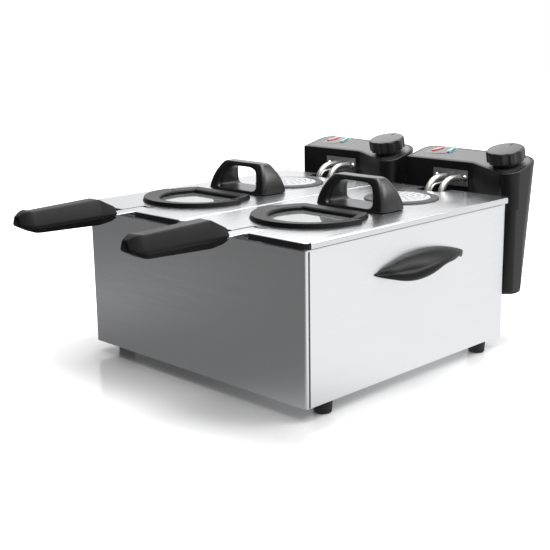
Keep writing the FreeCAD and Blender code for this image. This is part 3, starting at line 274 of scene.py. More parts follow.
# The lids are smoother and mirror the room softly, with streaks from front to rear.
LID_STEEL = steel("smooth_stainless_sheet", "d6d7d9", 0.24, Surface.BRUSHED, spread=0.04, pitch_mm=1.2,
                  bump_mm=0.002, streak=(1.0, 0.02, 1.0), shade=0.02)
# Deep-drawn steel keeps a soft, slightly uneven shine from the die.
DRAWN_STEEL = steel("drawn_stainless", "c9cacc", 0.30, spread=0.03, pitch_mm=6.0, bump_mm=0.0)
# The plate behind the element's legs is duller and darker than the lids.
PLATE_STEEL = steel("rolled_plate_steel", "b4b5b8", 0.34, spread=0.08, pitch_mm=2.5, bump_mm=0.004)
# The element's sheath is bright tube with fine marks from bending.
TUBE_STEEL = steel("drawn_steel_tube", "c6c5c2", 0.44, pitch_mm=2.0, bump_mm=0.004)
# Plated wire gives small sharp highlights.
PLATED_WIRE = steel("plated_wire", "d8d9da", 0.18, spread=0.05, pitch_mm=3.0, bump_mm=0.003)
# The joint between two sheets shows as a dull dark line.
SEAM_STEEL = steel("shaded_joint_steel", "4a4a4c", 0.6, metallic=0.6, spread=0.05, bump_mm=0.002)
# Screw heads and shafts are bright and mirror in small spots.
SCREW_STEEL = steel("bright_screw_steel", "d5d5d6", 0.22, spread=0.05, pitch_mm=2.0, bump_mm=0.003)
# Black ABS from a spark-eroded tool has a fine grain that spreads the highlights.
BLACK_ABS = plastic("grained_black_abs", "0a0a0b", 0.40, pitch_mm=0.9, bump_mm=0.006, shine=0.22)
# The control units' outer skin is smoother: black from the front, a grey sheen where it turns to the light.
UNIT_ABS = plastic("satin_black_abs", "070708", 0.38, pitch_mm=0.9, bump_mm=0.005, shine=0.34)
# The lid handles are worn smooth on top, where they mirror the pale room.
HANDLE_ABS = plastic("smooth_black_abs", "09090a", 0.34, bump_mm=0.004, shine=0.3, coat=0.5)
# The grips have a coarser grain so that they don't slip, and break up the light.
GRIP_ABS = plastic("blasted_black_abs", "0a0a0b", 0.36, spread=0.06, pitch_mm=1.1, bump_mm=0.008, shine=0.22)
# The panel has a finer grain that catches the light from behind as a grey sheen. Its colour is lifted from
# black to dark grey: painted sheen on top of the real one.
FASCIA_ABS = plastic("black_abs_painted_sheen", "202022", 0.42, pitch_mm=0.7, bump_mm=0.005, coat=0.6)
# The dials share that sheen on top and stay black at the sides.
DIAL_ABS = plastic("dial_black_abs", "0c0c0d", 0.38, spread=0.04, pitch_mm=0.7, bump_mm=0.004, shine=0.3,
                   coat=0.5)
# The lamps' window is polished and mirrors the room sharply.
GLOSS_ABS = plastic("gloss_black_abs", "0c0c0d", 0.16, spread=0.04, pitch_mm=1.5, bump_mm=0.002)
# Feet and the lids' rubber lip strips are matt and swallow the light; the strips also paint the shade under
# the lips.
BLACK_RUBBER = plastic("black_rubber", "121212", 0.75, spread=0.08, pitch_mm=1.4, bump_mm=0.03)
# The filter's ring is dark grey with a dull shine, and its cover off-white.
GREY_PP = plastic("grey_polypropylene", "3a3a3e", 0.5, bump_mm=0.006, shine=0.35)
WHITE_PP = plastic("white_polypropylene", "b6b6b9", 0.5, bump_mm=0.005)
# Printed marks are flat grey ink.
SCALE_PRINT = Finish("grey_pad_print", "9a9a9c", 0.55, spread=0.05, pitch_mm=0.8, bump_mm=0.004)
# Carbon felt: dark, matt and fibrous.
FILTER_FELT = Finish("filter_felt", "2e2e2f", 0.95, Surface.FELTED, spread=0.04, pitch_mm=0.8, bump_mm=0.2,
                     shade=0.3)
# The thermostat's block is cream resin, plain and half matt.
SWITCH_RESIN = plastic("moulded_switch_resin", "c9bb95", 0.5, spread=0.06, pitch_mm=1.5)
# The reset button is a dark red spot on the black cover.
RESET_RESIN = plastic("red_button_resin", "8c1515", 0.35, spread=0.06, bump_mm=0.01)
# Lamp lenses are tinted clear plastic with a glossy skin.
RED_LENS = tinted("red_lamp_lens", "c4252b", 0.12)
GREEN_LENS = tinted("green_lamp_lens", "1f8f8a", 0.12)
# The pane mirrors the pale room at a low angle and lets the basket show from above.
CLEAR_GLASS = Finish("tempered_glass", "f2f5f5", 0.05, Surface.PANE, ior=1.6, spread=0.02, pitch_mm=9.0,
                     bump_mm=0.002, shade=0.01, coat=1.0)

# What the nodes are made of, by their names without the side
FINISH_NODES: dict[Finish, str] = {
    SATIN_STEEL: "housing_shell", DRAWN_STEEL: "base_plate centre_rail control_guides oil_pot",
    LID_STEEL: "lid_panel handle_strap", PLATE_STEEL: "element_plate", PLATED_WIRE: "basket",
    TUBE_STEEL: "heating_element sensor_tube", SCREW_STEEL: "lid_handle_screws knob_shaft element_screws",
    BLACK_RUBBER: "feet", BLACK_ABS: "side_handle window_frame", UNIT_ABS: "control_housing control_cover",
    HANDLE_ABS: "lid_handle", GRIP_ABS: "grip_upper grip_lower", FASCIA_ABS: "control_fascia",
    DIAL_ABS: "knob", GREY_PP: "filter_ring", WHITE_PP: "filter_cover", FILTER_FELT: "filter_mat",
    SWITCH_RESIN: "thermostat", RESET_RESIN: "reset_button", RED_LENS: "power_lamp",
    GREEN_LENS: "ready_lamp", CLEAR_GLASS: "window_glass"}
NODE_FINISH = {stem: finish for finish, stems in FINISH_NODES.items() for stem in stems.split()}

# The longest stretch of a side that a rounded corner takes up
CORNER_SHARE = 0.45


def node_box(node: str) -> tuple[np.ndarray, np.ndarray]:
    """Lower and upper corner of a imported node, in millimetres."""
    low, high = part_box(node)
    return np.array(low) / MM, np.array(high) / MM


def points_at(x: np.ndarray, y: np.ndarray, z: np.ndarray) -> np.ndarray:
    """Points from their three measures, spread to one shape."""
    return np.stack(np.broadcast_arrays(x, y, z), axis=-1)


def full_turn(count: int) -> np.ndarray:
    """Equal angles round a circle."""
    return np.linspace(0.0, 2 * np.pi, count, endpoint=False)


def signed_power(values: np.ndarray, power: Any) -> np.ndarray:
    """Raise values to a power and keep their signs: sign(v) |v|^power."""
    return np.sign(values) * np.abs(values) ** power


def running_mean(values: np.ndarray, reach: int, mode: str) -> np.ndarray:
    """Ease a row of values by the mean of each with its neighbours.

    Args:
        values: the row.
        reach: how many neighbours count on each side.
        mode: how np.pad carries the row on past its ends.

    Returns:
        As many values, eased.
    """
    weights = np.ones(2 * reach + 1) / (2 * reach + 1)
    return np.convolve(np.pad(values, reach, mode=mode), weights, mode="valid")


def grid_faces(rows: int, cols: int, wrap_rows: bool = False) -> np.ndarray:
    """Number the quads of a grid of points whose columns close on themselves.

    Args:
        rows: points along the first parameter.
        cols: points round the second parameter.
        wrap_rows: whether the last row joins the first.

    Returns:
        Quads as an array of four point numbers each.
    """
    row, col = np.meshgrid(np.arange(rows if wrap_rows else rows - 1), np.arange(cols), indexing="ij")
    below, beside = (row + 1) % rows, (col + 1) % cols
    corners = (row * cols + col, row * cols + beside, below * cols + beside, below * cols + col)
    return np.stack(corners, axis=-1).reshape(-1, 4)


def capped_faces(rows: int, cols: int) -> list[np.ndarray]:
    """Number the quads of a grid of rings, and shut its first and last ring.

    Args:
        rows: how many rings.
        cols: points on each ring.

    Returns:
        Quads, then one face for each end.
    """
    ring = np.arange(cols)[None, :]
    return [grid_faces(rows, cols), ring[:, ::-1], ring + (rows - 1) * cols]


def soft_corners(rings: np.ndarray, reach: np.ndarray, steps: int) -> np.ndarray:
    """Replace each corner of closed polygons by a parabola that starts and ends at a reach from the corner.

    A corner P between A and B becomes (1 - s)^2 A' + 2 s (1 - s) P + s^2 B', with A' and B' on its two sides.

    Args:
        rings: polygons as (ring, corner, xyz).
        reach: how far from each corner its curve starts, in the rings' unit.
        steps: points on each curve.

    Returns:
        Rings with steps points for each corner.
    """
    sides = np.stack([np.roll(rings, 1, axis=1), np.roll(rings, -1, axis=1)]) - rings
    length = np.linalg.norm(sides, axis=-1, keepdims=True)
    near = rings + sides / length * np.minimum(reach[:, None], CORNER_SHARE * length)
    start, stop = near[:, :, :, None, :]
    s = np.linspace(0.0, 1.0, steps)[:, None]
    curve = (1 - s) ** 2 * start + 2 * s * (1 - s) * rings[:, :, None, :] + s ** 2 * stop
    return curve.reshape(len(rings), -1, 3)


def dress_solids() -> None:
    """Put each node's finish on its object."""
    for name, obj in frame["nodes"].items():
        stem = name.removesuffix("_left").removesuffix("_right")
        obj.data.materials.clear()
        obj.data.materials.append(NODE_FINISH[stem].build())
        LOG.info("dressed %s", name)


@dataclass(frozen=True)
class Piece:
    """A visible piece: its finish, the body it rides on, the record's slot and the turn of a crisp edge."""

    name: str
    finish: Finish
    body: str
    slot: str
    sharp_deg: float = 40.0

    def place(self, mesh: bpy.types.Mesh) -> bpy.types.Object:
        """Turn a mesh's faces outward, smooth it up to the crisp edges, and let it ride on the body.

        Args:
            mesh: the piece's mesh, in metres.

        Returns:
            The new object.
        """
        work = bmesh.new()
        work.from_mesh(mesh)
        bmesh.ops.recalc_face_normals(work, faces=work.faces)
        work.to_mesh(mesh)
        work.free()
        mesh.shade_smooth()
        mesh.set_sharp_from_angle(angle=math.radians(self.sharp_deg))
        mesh.materials.append(self.finish.build())
        obj = add_object(self.name, mesh)
        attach(obj, self.body)
        LOG.info("made %s with %d faces", self.name, len(mesh.polygons))
        return obj

    def shape(self, points: np.ndarray, faces: Sequence[np.ndarray]) -> bpy.types.Object:
        """Make the piece from points and faces.

        Args:
            points: places in millimetres, in the part's frame.
            faces: arrays of point numbers, one array for each count of corners.

        Returns:
            The new object.
        """
        mesh = bpy.data.meshes.new(self.name)
        corners = [face for part in faces for face in part.tolist()]
        mesh.from_pydata((points.reshape(-1, 3) * MM).tolist(), [], corners)
        return self.place(mesh)

    def loft(self, rings: np.ndarray) -> bpy.types.Object:
        """Make the piece from rings in a row, with both ends shut."""
        return self.shape(rings, capped_faces(*rings.shape[:2]))


@dataclass
class EasedSolid:
    """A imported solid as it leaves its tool: its mesh joined, shaded smooth and its sharp edges eased."""

    stem: str
    slot: str
    edge_mm: float
    sharp_deg: float = 32.0
    segments: int = 2
    join_mm: float = 0.002
    flat_deg: float = 0.3

    def joined(self, node: str) -> bpy.types.Mesh:
        """Copy a solid's mesh with its triangles joined to flat faces.

        Args:
            node: the solid's name.

        Returns:
            The new mesh.
        """
        work = bmesh.new()
        work.from_mesh(frame["nodes"][node].data)
        bmesh.ops.remove_doubles(work, verts=work.verts, dist=self.join_mm * MM)
        bmesh.ops.dissolve_limit(work, angle_limit=math.radians(self.flat_deg), verts=work.verts,
                                 edges=work.edges)
        mesh = bpy.data.meshes.new(f"eased_{node}")
        work.to_mesh(mesh)
        work.free()
        return mesh

    def build(self) -> None:
        """Copy the solid of each side and bevel its edges sharper than sharp_deg."""
        for side in SIDES:
            node = f"{self.stem}_{side}"
            piece = Piece(f"eased_{node}", NODE_FINISH[self.stem], NODE_BODY[node], self.slot, self.sharp_deg)
            obj = piece.place(self.joined(node))
            if self.edge_mm:
                bevel = obj.modifiers.new("eased_edges", "BEVEL")
                bevel.width, bevel.segments = self.edge_mm * MM, self.segments
                bevel.limit_method, bevel.angle_limit = "ANGLE", math.radians(self.sharp_deg)
                bevel.harden_normals = True
            even = obj.modifiers.new("flat_faces_stay_flat", "WEIGHTED_NORMAL")
            even.keep_sharp = True
            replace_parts(obj, node)


# How much the sharp edges of each solid are eased, under its slot
EASED_EDGES = {
    "black_plastic": {"side_handle": 0.0, "window_frame": 0.5, "control_housing": 0.0, "control_cover": 0.0},
    "fascia_plastic": {"control_fascia": 0.45, "knob": 0.7},
    "element_steel": {"heating_element": 0.0, "sensor_tube": 0.0},
    "grey_plastic": {"filter_ring": 0.3}, "strap_steel": {"handle_strap": 0.4}}


@dataclass
class WireBasket:
    """Basket of plated wire: hoops, two sets of bent wires and a thick rim."""

    wire_r: float = 0.8
    rim_r: float = 2.2
    rim_out: float = 1.2
    pitch: float = 8.0
    corner: float = 18.0
    floor_bend: float = 9.0
    bend_steps: int = 6
    margin: float = 3.0
    sides: int = 6
    sharp_deg: float = 60.0

    def tubes(self, paths: np.ndarray, across: np.ndarray, radius: float,
              closed: bool) -> tuple[np.ndarray, list[np.ndarray]]:
        """Round bars along flat paths: path + r (cos a n + sin a b), b across the plane, n = b x tangent.

        Args:
            paths: points as (wire, point, xyz).
            across: unit vector square to the plane of the paths.
            radius: the bar's radius.
            closed: whether each path joins its own start.

        Returns:
            Points and face arrays, with the ends of open bars shut.
        """
        if closed:
            run = np.roll(paths, -1, axis=1) - np.roll(paths, 1, axis=1)
        else:
            run = np.gradient(paths, axis=1)
        outward = np.cross(across, run)
        outward /= np.linalg.norm(outward, axis=-1, keepdims=True)
        turn = full_turn(self.sides)[:, None]
        spokes = np.cos(turn) * outward[:, :, None, :] + np.sin(turn) * across
        rings = paths[:, :, None, :] + radius * spokes
        count, length = paths.shape[:2]
        first = np.arange(count)[:, None, None] * length * self.sides
        parts = [grid_faces(length, self.sides, True)] if closed else capped_faces(length, self.sides)
        return rings.reshape(-1, 3), [(part + first).reshape(-1, part.shape[1]) for part in parts]

    def bend(self, start_deg: float) -> np.ndarray:
        """Cosines and sines of a quarter bend from an angle."""
        angle = np.radians(start_deg + np.linspace(0.0, 90.0, self.bend_steps))
        return np.stack([np.cos(angle), np.sin(angle)])

    def troughs(self, places: np.ndarray, halves: np.ndarray, low: float, high: float) -> np.ndarray:
        """Wires bent to a U: down one wall, round a bend, along the floor and up the other wall.

        Args:
            places: where each wire stands along the basket.
            halves: half of each wire's span.
            low: the floor wire's height.
            high: the wires' upper ends.

        Returns:
            Points as (wire, point, (across, along, up)).
        """
        r = self.floor_bend
        left, right = self.bend(180.0), self.bend(270.0)
        up = np.concatenate([[high], low + r + r * left[1], low + r + r * right[1], [high]])
        side = np.repeat([-1.0, 1.0], self.bend_steps + 1)
        inward = np.concatenate([[0.0], r * (1 + left[0]), r * (right[0] - 1), [0.0]])
        span = side[None, :] * halves[:, None] + inward[None, :]
        return points_at(span, places[:, None], up)

    def hoops(self, half: np.ndarray, heights: np.ndarray) -> np.ndarray:
        """Level rounded rectangles, one for each height.

        Args:
            half: half of the rectangle's two sides.
            heights: where the hoops lie.

        Returns:
            Points as (hoop, point, xyz).
        """
        r = self.corner
        corners = ((0.0, (1, 1)), (90.0, (-1, 1)), (180.0, (-1, -1)), (270.0, (1, -1)))
        plan = np.concatenate([(half - r) * sign + r * self.bend(start).T for start, sign in corners])
        return points_at(plan[:, 0], plan[:, 1], heights[:, None])

    def spread(self, half: float) -> np.ndarray:
        """Even places for wires, about pitch apart, on both sides of the middle."""
        return np.linspace(self.margin - half, half - self.margin, round(2 * half / self.pitch))

    def drawn_in(self, places: np.ndarray, end: float, half: float) -> np.ndarray:
        """Half span of a wire at each place, shorter inside the rounded corners of the plan."""
        past = np.clip(np.abs(places) - (end - self.corner), 0.0, self.corner)
        return half - self.corner + np.sqrt(self.corner ** 2 - past ** 2)

    def wires(self, low: np.ndarray, high: np.ndarray) -> list[tuple[np.ndarray, list[np.ndarray]]]:
        """Two sets of bent wires, the hoops and the rim, about the middle of a box.

        Args:
            low: the box's lower corner.
            high: its upper corner.

        Returns:
            Points and face arrays of each set.
        """
        x_axis, y_axis, z_axis = np.eye(3)
        r, space = self.wire_r, (high - low)[:2] / 2
        half = space - self.rim_out - r
        floor, top = low[2] + r, high[2] - self.rim_r
        xs, ys = self.spread(half[0]), self.spread(half[1])
        zs = np.arange(floor + self.floor_bend, top - self.margin, self.pitch)
        across = self.troughs(ys, self.drawn_in(ys, half[1], half[0]), floor, top)
        along = self.troughs(xs, self.drawn_in(xs, half[0], half[1]), floor + 2 * r, top)[..., [1, 0, 2]]
        rim = self.hoops(space - self.rim_r, np.array([top]))
        return [self.tubes(across, y_axis, r, False), self.tubes(along, x_axis, r, False),
                self.tubes(self.hoops(half - 2 * r, zs), z_axis, r, True),
                self.tubes(rim, z_axis, self.rim_r, True)]

    def build(self) -> None:
        """Make the basket of each side in the space of its solid."""
        for side in SIDES:
            node = f"basket_{side}"
            low, high = node_box(node)
            sets = self.wires(low, high)
            starts = np.cumsum([0] + [len(points) for points, _ in sets])
            middle = (low + high) / 2 * np.array([1.0, 1.0, 0.0])
            points = np.concatenate([points for points, _ in sets]) + middle
            faces = [part + start for (_, parts), start in zip(sets, starts) for part in parts]
            basket = Piece(f"wire_basket_{side}", PLATED_WIRE, NODE_BODY[node], "bright_wire", self.sharp_deg)
            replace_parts(basket.shape(points, faces), node)


@dataclass
class BasketGrip:
    """Two-part moulded grip: narrow neck, flat top, slanting flanks, parting line at the strap, bowed tip."""

    length: float = 122.5
    neck_gap: float = 5.0
    width_at: Row = (0.0, 24.0, 107.0, 115.0, 122.5)
    widths: Row = (18.0, 29.0, 24.5, 21.0, 12.0)
    rise_at: Row = (0.0, 24.0, 110.0, 114.0, 122.5)
    rises: Row = (7.5, 19.4, 17.0, 15.0, 8.0)
    drop_at: Row = (0.0, 8.0, 26.0, 98.0, 106.0, 122.5)
    drops: Row = (4.5, 7.2, 8.6, 6.2, 5.4, 1.6)
    lift_at: Row = (0.0, 104.0, 122.5)
    lifts: Row = (0.0, 0.0, 5.0)
    top_flat: float = 0.56
    foot_flat: float = 0.72
    waist: float = 0.12
    edge: float = 1.5
    parting: float = 0.5
    end_round: float = 2.0
    end_share: float = 0.35
    corner_steps: int = 6
    stations: int = 110
    ease: int = 2
    sharp_deg: float = 50.0

    def taper(self, back: np.ndarray, knots: Row, sizes: Row) -> np.ndarray:
        """Straight runs between the sizes at the knots, with the kinks eased."""
        return running_mean(np.interp(back, knots, sizes), self.ease, "edge")

    def shell(self, upper: bool) -> np.ndarray:
        """Rings of one half: a six-cornered section that follows the tapers, with eased corners and ends.

        Args:
            upper: whether the half lies above the parting line.

        Returns:
            Rings as (station, point, (across, back, up)).
        """
        back = np.linspace(0.0, self.length, self.stations)
        ends = np.minimum(back, self.length - back)
        round_in = np.sqrt(1 - np.clip(1 - ends / self.end_round, 0.0, 1.0) ** 2 * self.end_share)
        half = self.taper(back, self.width_at, self.widths) / 2 * round_in
        if upper:
            tall, flat = self.taper(back, self.rise_at, self.rises) * round_in, self.top_flat
        else:
            tall, flat = -self.taper(back, self.drop_at, self.drops) * round_in, self.foot_flat
        zero = 0 * half
        xs = np.stack([-half, half, half, flat * half, -flat * half, -half], axis=1)
        zs = np.stack([zero, zero, self.waist * tall, tall, tall, self.waist * tall], axis=1)
        zs = zs + self.taper(back, self.lift_at, self.lifts)[:, None]
        rings = points_at(xs, back[:, None], zs)
        reach = np.array([self.parting] * 2 + [self.edge] * 4)
        return soft_corners(rings, reach, self.corner_steps)

    def build(self) -> None:
        """Make both halves of each grip where their solids are."""
        for side in SIDES:
            for part in ("grip_upper", "grip_lower"):
                node = f"{part}_{side}"
                low, high = node_box(node)
                upper = part == "grip_upper"
                parting_z = low[2] if upper else high[2]
                rings = self.shell(upper) * np.array([1.0, -1.0, 1.0])
                rings += np.array([(low[0] + high[0]) / 2, high[1] - self.neck_gap, parting_z])
                grip = Piece(f"moulded_{node}", GRIP_ABS, NODE_BODY[node], "black_plastic", self.sharp_deg)
                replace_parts(grip.loft(rings), node)


@dataclass
class LidBridge:
    """Lid handle: a closed loop of plastic round the finger hole that swells to its foot."""

    length: float = 99.0
    top_length: float = 66.0
    height: float = 36.0
    depth: float = 42.0
    top_depth: float = 15.0
    flank_swell: float = 2.2
    depth_swell: float = 1.5
    hole_l: float = 66.0
    hole_top_l: float = 51.0
    hole_low: float = 4.0
    hole_high: float = 30.5
    hole_ease: Row = (8.0, 8.0, 14.0, 14.0)
    middle: float = 15.0
    corner_ease: int = 3
    square_at: Row = (-0.5, -0.2, 0.45, 0.65)
    squares: Row = (7.0, 3.8, 3.8, 6.5)
    crisp_below: float = -0.28
    eased_above: float = -0.1
    corner_steps: int = 40
    hole_steps: int = 720
    flank_steps: int = 80
    level_steps: int = 160
    around: int = 180
    section: int = 44
    sharp_deg: float = 60.0

    def polar(self, outline: np.ndarray, angle: np.ndarray) -> np.ndarray:
        """Distance from the loop's middle to an outline in each direction.

        Args:
            outline: points as (across, up).
            angle: directions about the loop's middle.

        Returns:
            One distance for each direction.
        """
        across, up = outline[:, 0], outline[:, 1] - self.middle
        bearing, reach = np.arctan2(up, across), np.hypot(across, up)
        order = np.argsort(bearing)
        return np.interp(angle, bearing[order], reach[order], period=2 * np.pi)

    def hole(self) -> np.ndarray:
        """Finger hole with rounded corners, in even steps along its outline.

        Returns:
            Points as (across, up).
        """
        foot, top = self.hole_l / 2, self.hole_top_l / 2
        corners = np.array([[(-foot, self.hole_low, 0), (foot, self.hole_low, 0), (top, self.hole_high, 0),
                             (-top, self.hole_high, 0)]], float)
        bent = soft_corners(corners, np.array(self.hole_ease), self.corner_steps)[0]
        ring = np.concatenate([bent, bent[:1]])
        run = np.concatenate([[0.0], np.cumsum(np.linalg.norm(np.diff(ring, axis=0), axis=1))])
        step = np.linspace(0.0, run[-1], self.hole_steps)
        return np.stack([np.interp(step, run, ring[:, 0]), np.interp(step, run, ring[:, 1])], axis=1)

    def outside(self) -> np.ndarray:
        """Outside of the loop: flanks that draw in by (z / height)^swell, a level top and a level foot.

        Returns:
            Points as (across, up).
        """
        rise = np.linspace(0.0, 1.0, self.flank_steps)
        flank = (self.length + (self.top_length - self.length) * rise ** self.flank_swell) / 2
        level, none = np.linspace(-1.0, 1.0, self.level_steps), np.zeros(self.level_steps)
        runs = ((flank, rise * self.height), (-flank, rise * self.height),
                (level * self.top_length / 2, none + self.height), (level * self.length / 2, none))
        return np.concatenate([np.stack(run, 1) for run in runs])

    def outer_reach(self, angle: np.ndarray) -> np.ndarray:
        """Reach of the outside in each direction, with its corners eased except at the foot.

        Args:
            angle: directions about the loop's middle.

        Returns:
            One distance for each direction.
        """
        crisp = self.polar(self.outside(), angle)
        eased = running_mean(crisp, self.corner_ease, "wrap")
        share = np.interp(np.sin(angle), (self.crisp_below, self.eased_above), (0.0, 1.0))
        return crisp + (eased - crisp) * share

    def build(self) -> None:
        """Carry a superellipse |p|^n + |q|^n = 1 round the hole: p from hole to outside, q through the depth.

        The exponent n grows at the flat foot and top, and the depth falls to the top by (z / height)^swell.
        """
        angle = np.linspace(-np.pi, np.pi, self.around, endpoint=False)
        inner, outer = self.polar(self.hole(), angle), self.outer_reach(angle)
        turn = full_turn(self.section)
        power = 2 / np.interp(np.sin(angle), self.square_at, self.squares)[:, None]
        p, q = signed_power(np.cos(turn), power), signed_power(np.sin(turn), power)
        reach = (inner + outer)[:, None] / 2 + (outer - inner)[:, None] / 2 * p
        x, z = reach * np.cos(angle)[:, None], self.middle + reach * np.sin(angle)[:, None]
        z = np.clip(z, 0.0, self.height)
        y = q * (self.depth + (self.top_depth - self.depth) * (z / self.height) ** self.depth_swell) / 2
        loop = points_at(x, y, z)
        for side in SIDES:
            node = f"lid_handle_{side}"
            low, high = node_box(node)
            place = np.array([*(low + high)[:2] / 2, low[2]])
            handle = Piece(f"moulded_{node}", HANDLE_ABS, NODE_BODY[node], "black_plastic", self.sharp_deg)
            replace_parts(handle.shape(loop + place, [grid_faces(self.around, self.section, True)]), node)


@dataclass
class ControlPanel:
    """Oval lamp window with two long lenses, and the printed scale beside the dial, on the sloping panel."""

    tilt_deg: float = 13.0
    front_y: float = 213.03
    front_z: float = 209.0
    station: float = 91.0
    window_at: Pair = (-50.5, 267.5)
    window_half: Pair = (21.0, 14.5)
    window_turn_deg: float = 20.0
    window_h: float = 0.5
    window_square: float = 2.0
    lens_half: Pair = (9.8, 3.9)
    lens_h: float = 1.9
    lens_square: float = 2.8
    dome_rows: int = 12
    dome_points: int = 64
    dome_pole: float = 0.04
    skirt: float = 0.4
    sharp_deg: float = 60.0
    red_at: Pair = (-59.5, 269.5)
    red_turn_deg: float = 62.0
    green_at: Pair = (-38.8, 270.0)
    green_turn_deg: float = 100.0
    dial_at: Pair = (59.7, 245.33)
    tick_in: float = 26.0
    tick_out: Pair = (28.5, 29.6)
    tick_half_w: float = 0.35
    tick_h: float = 0.06
    ticks: int = 9
    first_deg: float = 100.0
    last_deg: float = 212.0

    def lay(self, local: np.ndarray, at: Pair, side: str) -> np.ndarray:
        """Put points measured across, along the slope and off the panel at a place on one control unit.

        Args:
            local: points in the panel's own directions.
            at: the place across the unit and its depth in the part's frame.
            side: which unit.

        Returns:
            Points in the part's frame.
        """
        tilt = math.radians(self.tilt_deg)
        across, back, up = np.moveaxis(local, -1, 0)
        x = across + at[0] + (self.station if side == "right" else -self.station)
        y = back * math.cos(tilt) - up * math.sin(tilt) + at[1]
        z = back * math.sin(tilt) + up * math.cos(tilt) + self.front_z
        z += (at[1] - self.front_y) * math.tan(tilt)
        return points_at(x, y, z)

    def button(self, half: Pair, height: float, square: float, turn_deg: float) -> np.ndarray:
        """Dome on a superellipse: height h (1 - q^4)^(1/2) at the share q of the outline, and a short skirt.

        Args:
            half: half length and half width.
            height: the dome's rise.
            square: the outline's exponent, 2 for an ellipse.
            turn_deg: turn on the panel.

        Returns:
            Rings as (row, point, (across, back, up)), outermost first.
        """
        share = np.concatenate([[1.0], np.linspace(1.0, self.dome_pole, self.dome_rows)])[:, None]
        u = full_turn(self.dome_points)[None, :]
        a = share * half[0] * signed_power(np.cos(u), 2 / square)
        b = share * half[1] * signed_power(np.sin(u), 2 / square)
        rise = height * np.sqrt(1 - share ** 4)
        rise[0] = -self.skirt
        turn = math.radians(turn_deg)
        across, back = a * math.cos(turn) - b * math.sin(turn), a * math.sin(turn) + b * math.cos(turn)
        return points_at(across, back, rise)

    def lamps(self, side: str) -> None:
        """Lay the oval window and its two lenses on the panel.

        Args:
            side: which unit.
        """
        lens = (self.lens_half, self.lens_h, self.lens_square)
        window = self.button(self.window_half, self.window_h, self.window_square, self.window_turn_deg)
        parts = (("lamp_window", "", GLOSS_ABS, "fascia_plastic", self.window_at, window),
                 ("red_lens", "power_lamp", RED_LENS, "red_lens", self.red_at,
                  self.button(*lens, self.red_turn_deg)),
                 ("green_lens", "ready_lamp", GREEN_LENS, "green_lens", self.green_at,
                  self.button(*lens, self.green_turn_deg)))
        for name, node, finish, slot, at, rings in parts:
            piece = Piece(f"{name}_{side}", finish, f"control_{side}", slot, self.sharp_deg)
            obj = piece.loft(self.lay(rings, at, side))
            if node:
                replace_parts(obj, f"{node}_{side}")

    def scale(self, side: str) -> None:
        """Short printed bars at equal angles about the dial, every second one shorter.

        Args:
            side: which unit.
        """
        angle = np.radians(np.linspace(self.first_deg, self.last_deg, self.ticks))[:, None]
        out = np.where(np.arange(self.ticks) % 2, *self.tick_out)[:, None]
        radial = np.concatenate([np.full((self.ticks, 2), self.tick_in), np.repeat(out, 2, 1)], axis=1)
        wide = np.array([[-1.0, 1.0, 1.0, -1.0]]) * self.tick_half_w
        across = radial * np.cos(angle) - wide * np.sin(angle)
        back = radial * np.sin(angle) + wide * np.cos(angle)
        bars = np.concatenate([points_at(across, back, up) for up in (0.0, self.tick_h)], axis=1)
        faces = np.concatenate(capped_faces(2, 4)) + bars.shape[1] * np.arange(self.ticks)[:, None, None]
        marks = Piece(f"dial_scale_{side}", SCALE_PRINT, f"control_{side}", "fascia_plastic")
        marks.shape(self.lay(bars, self.dial_at, side), [faces.reshape(-1, 4)])

    def build(self) -> None:
        """Put the lamps and the scale on each control unit."""
        for side in SIDES:
            self.lamps(side)
            self.scale(side)


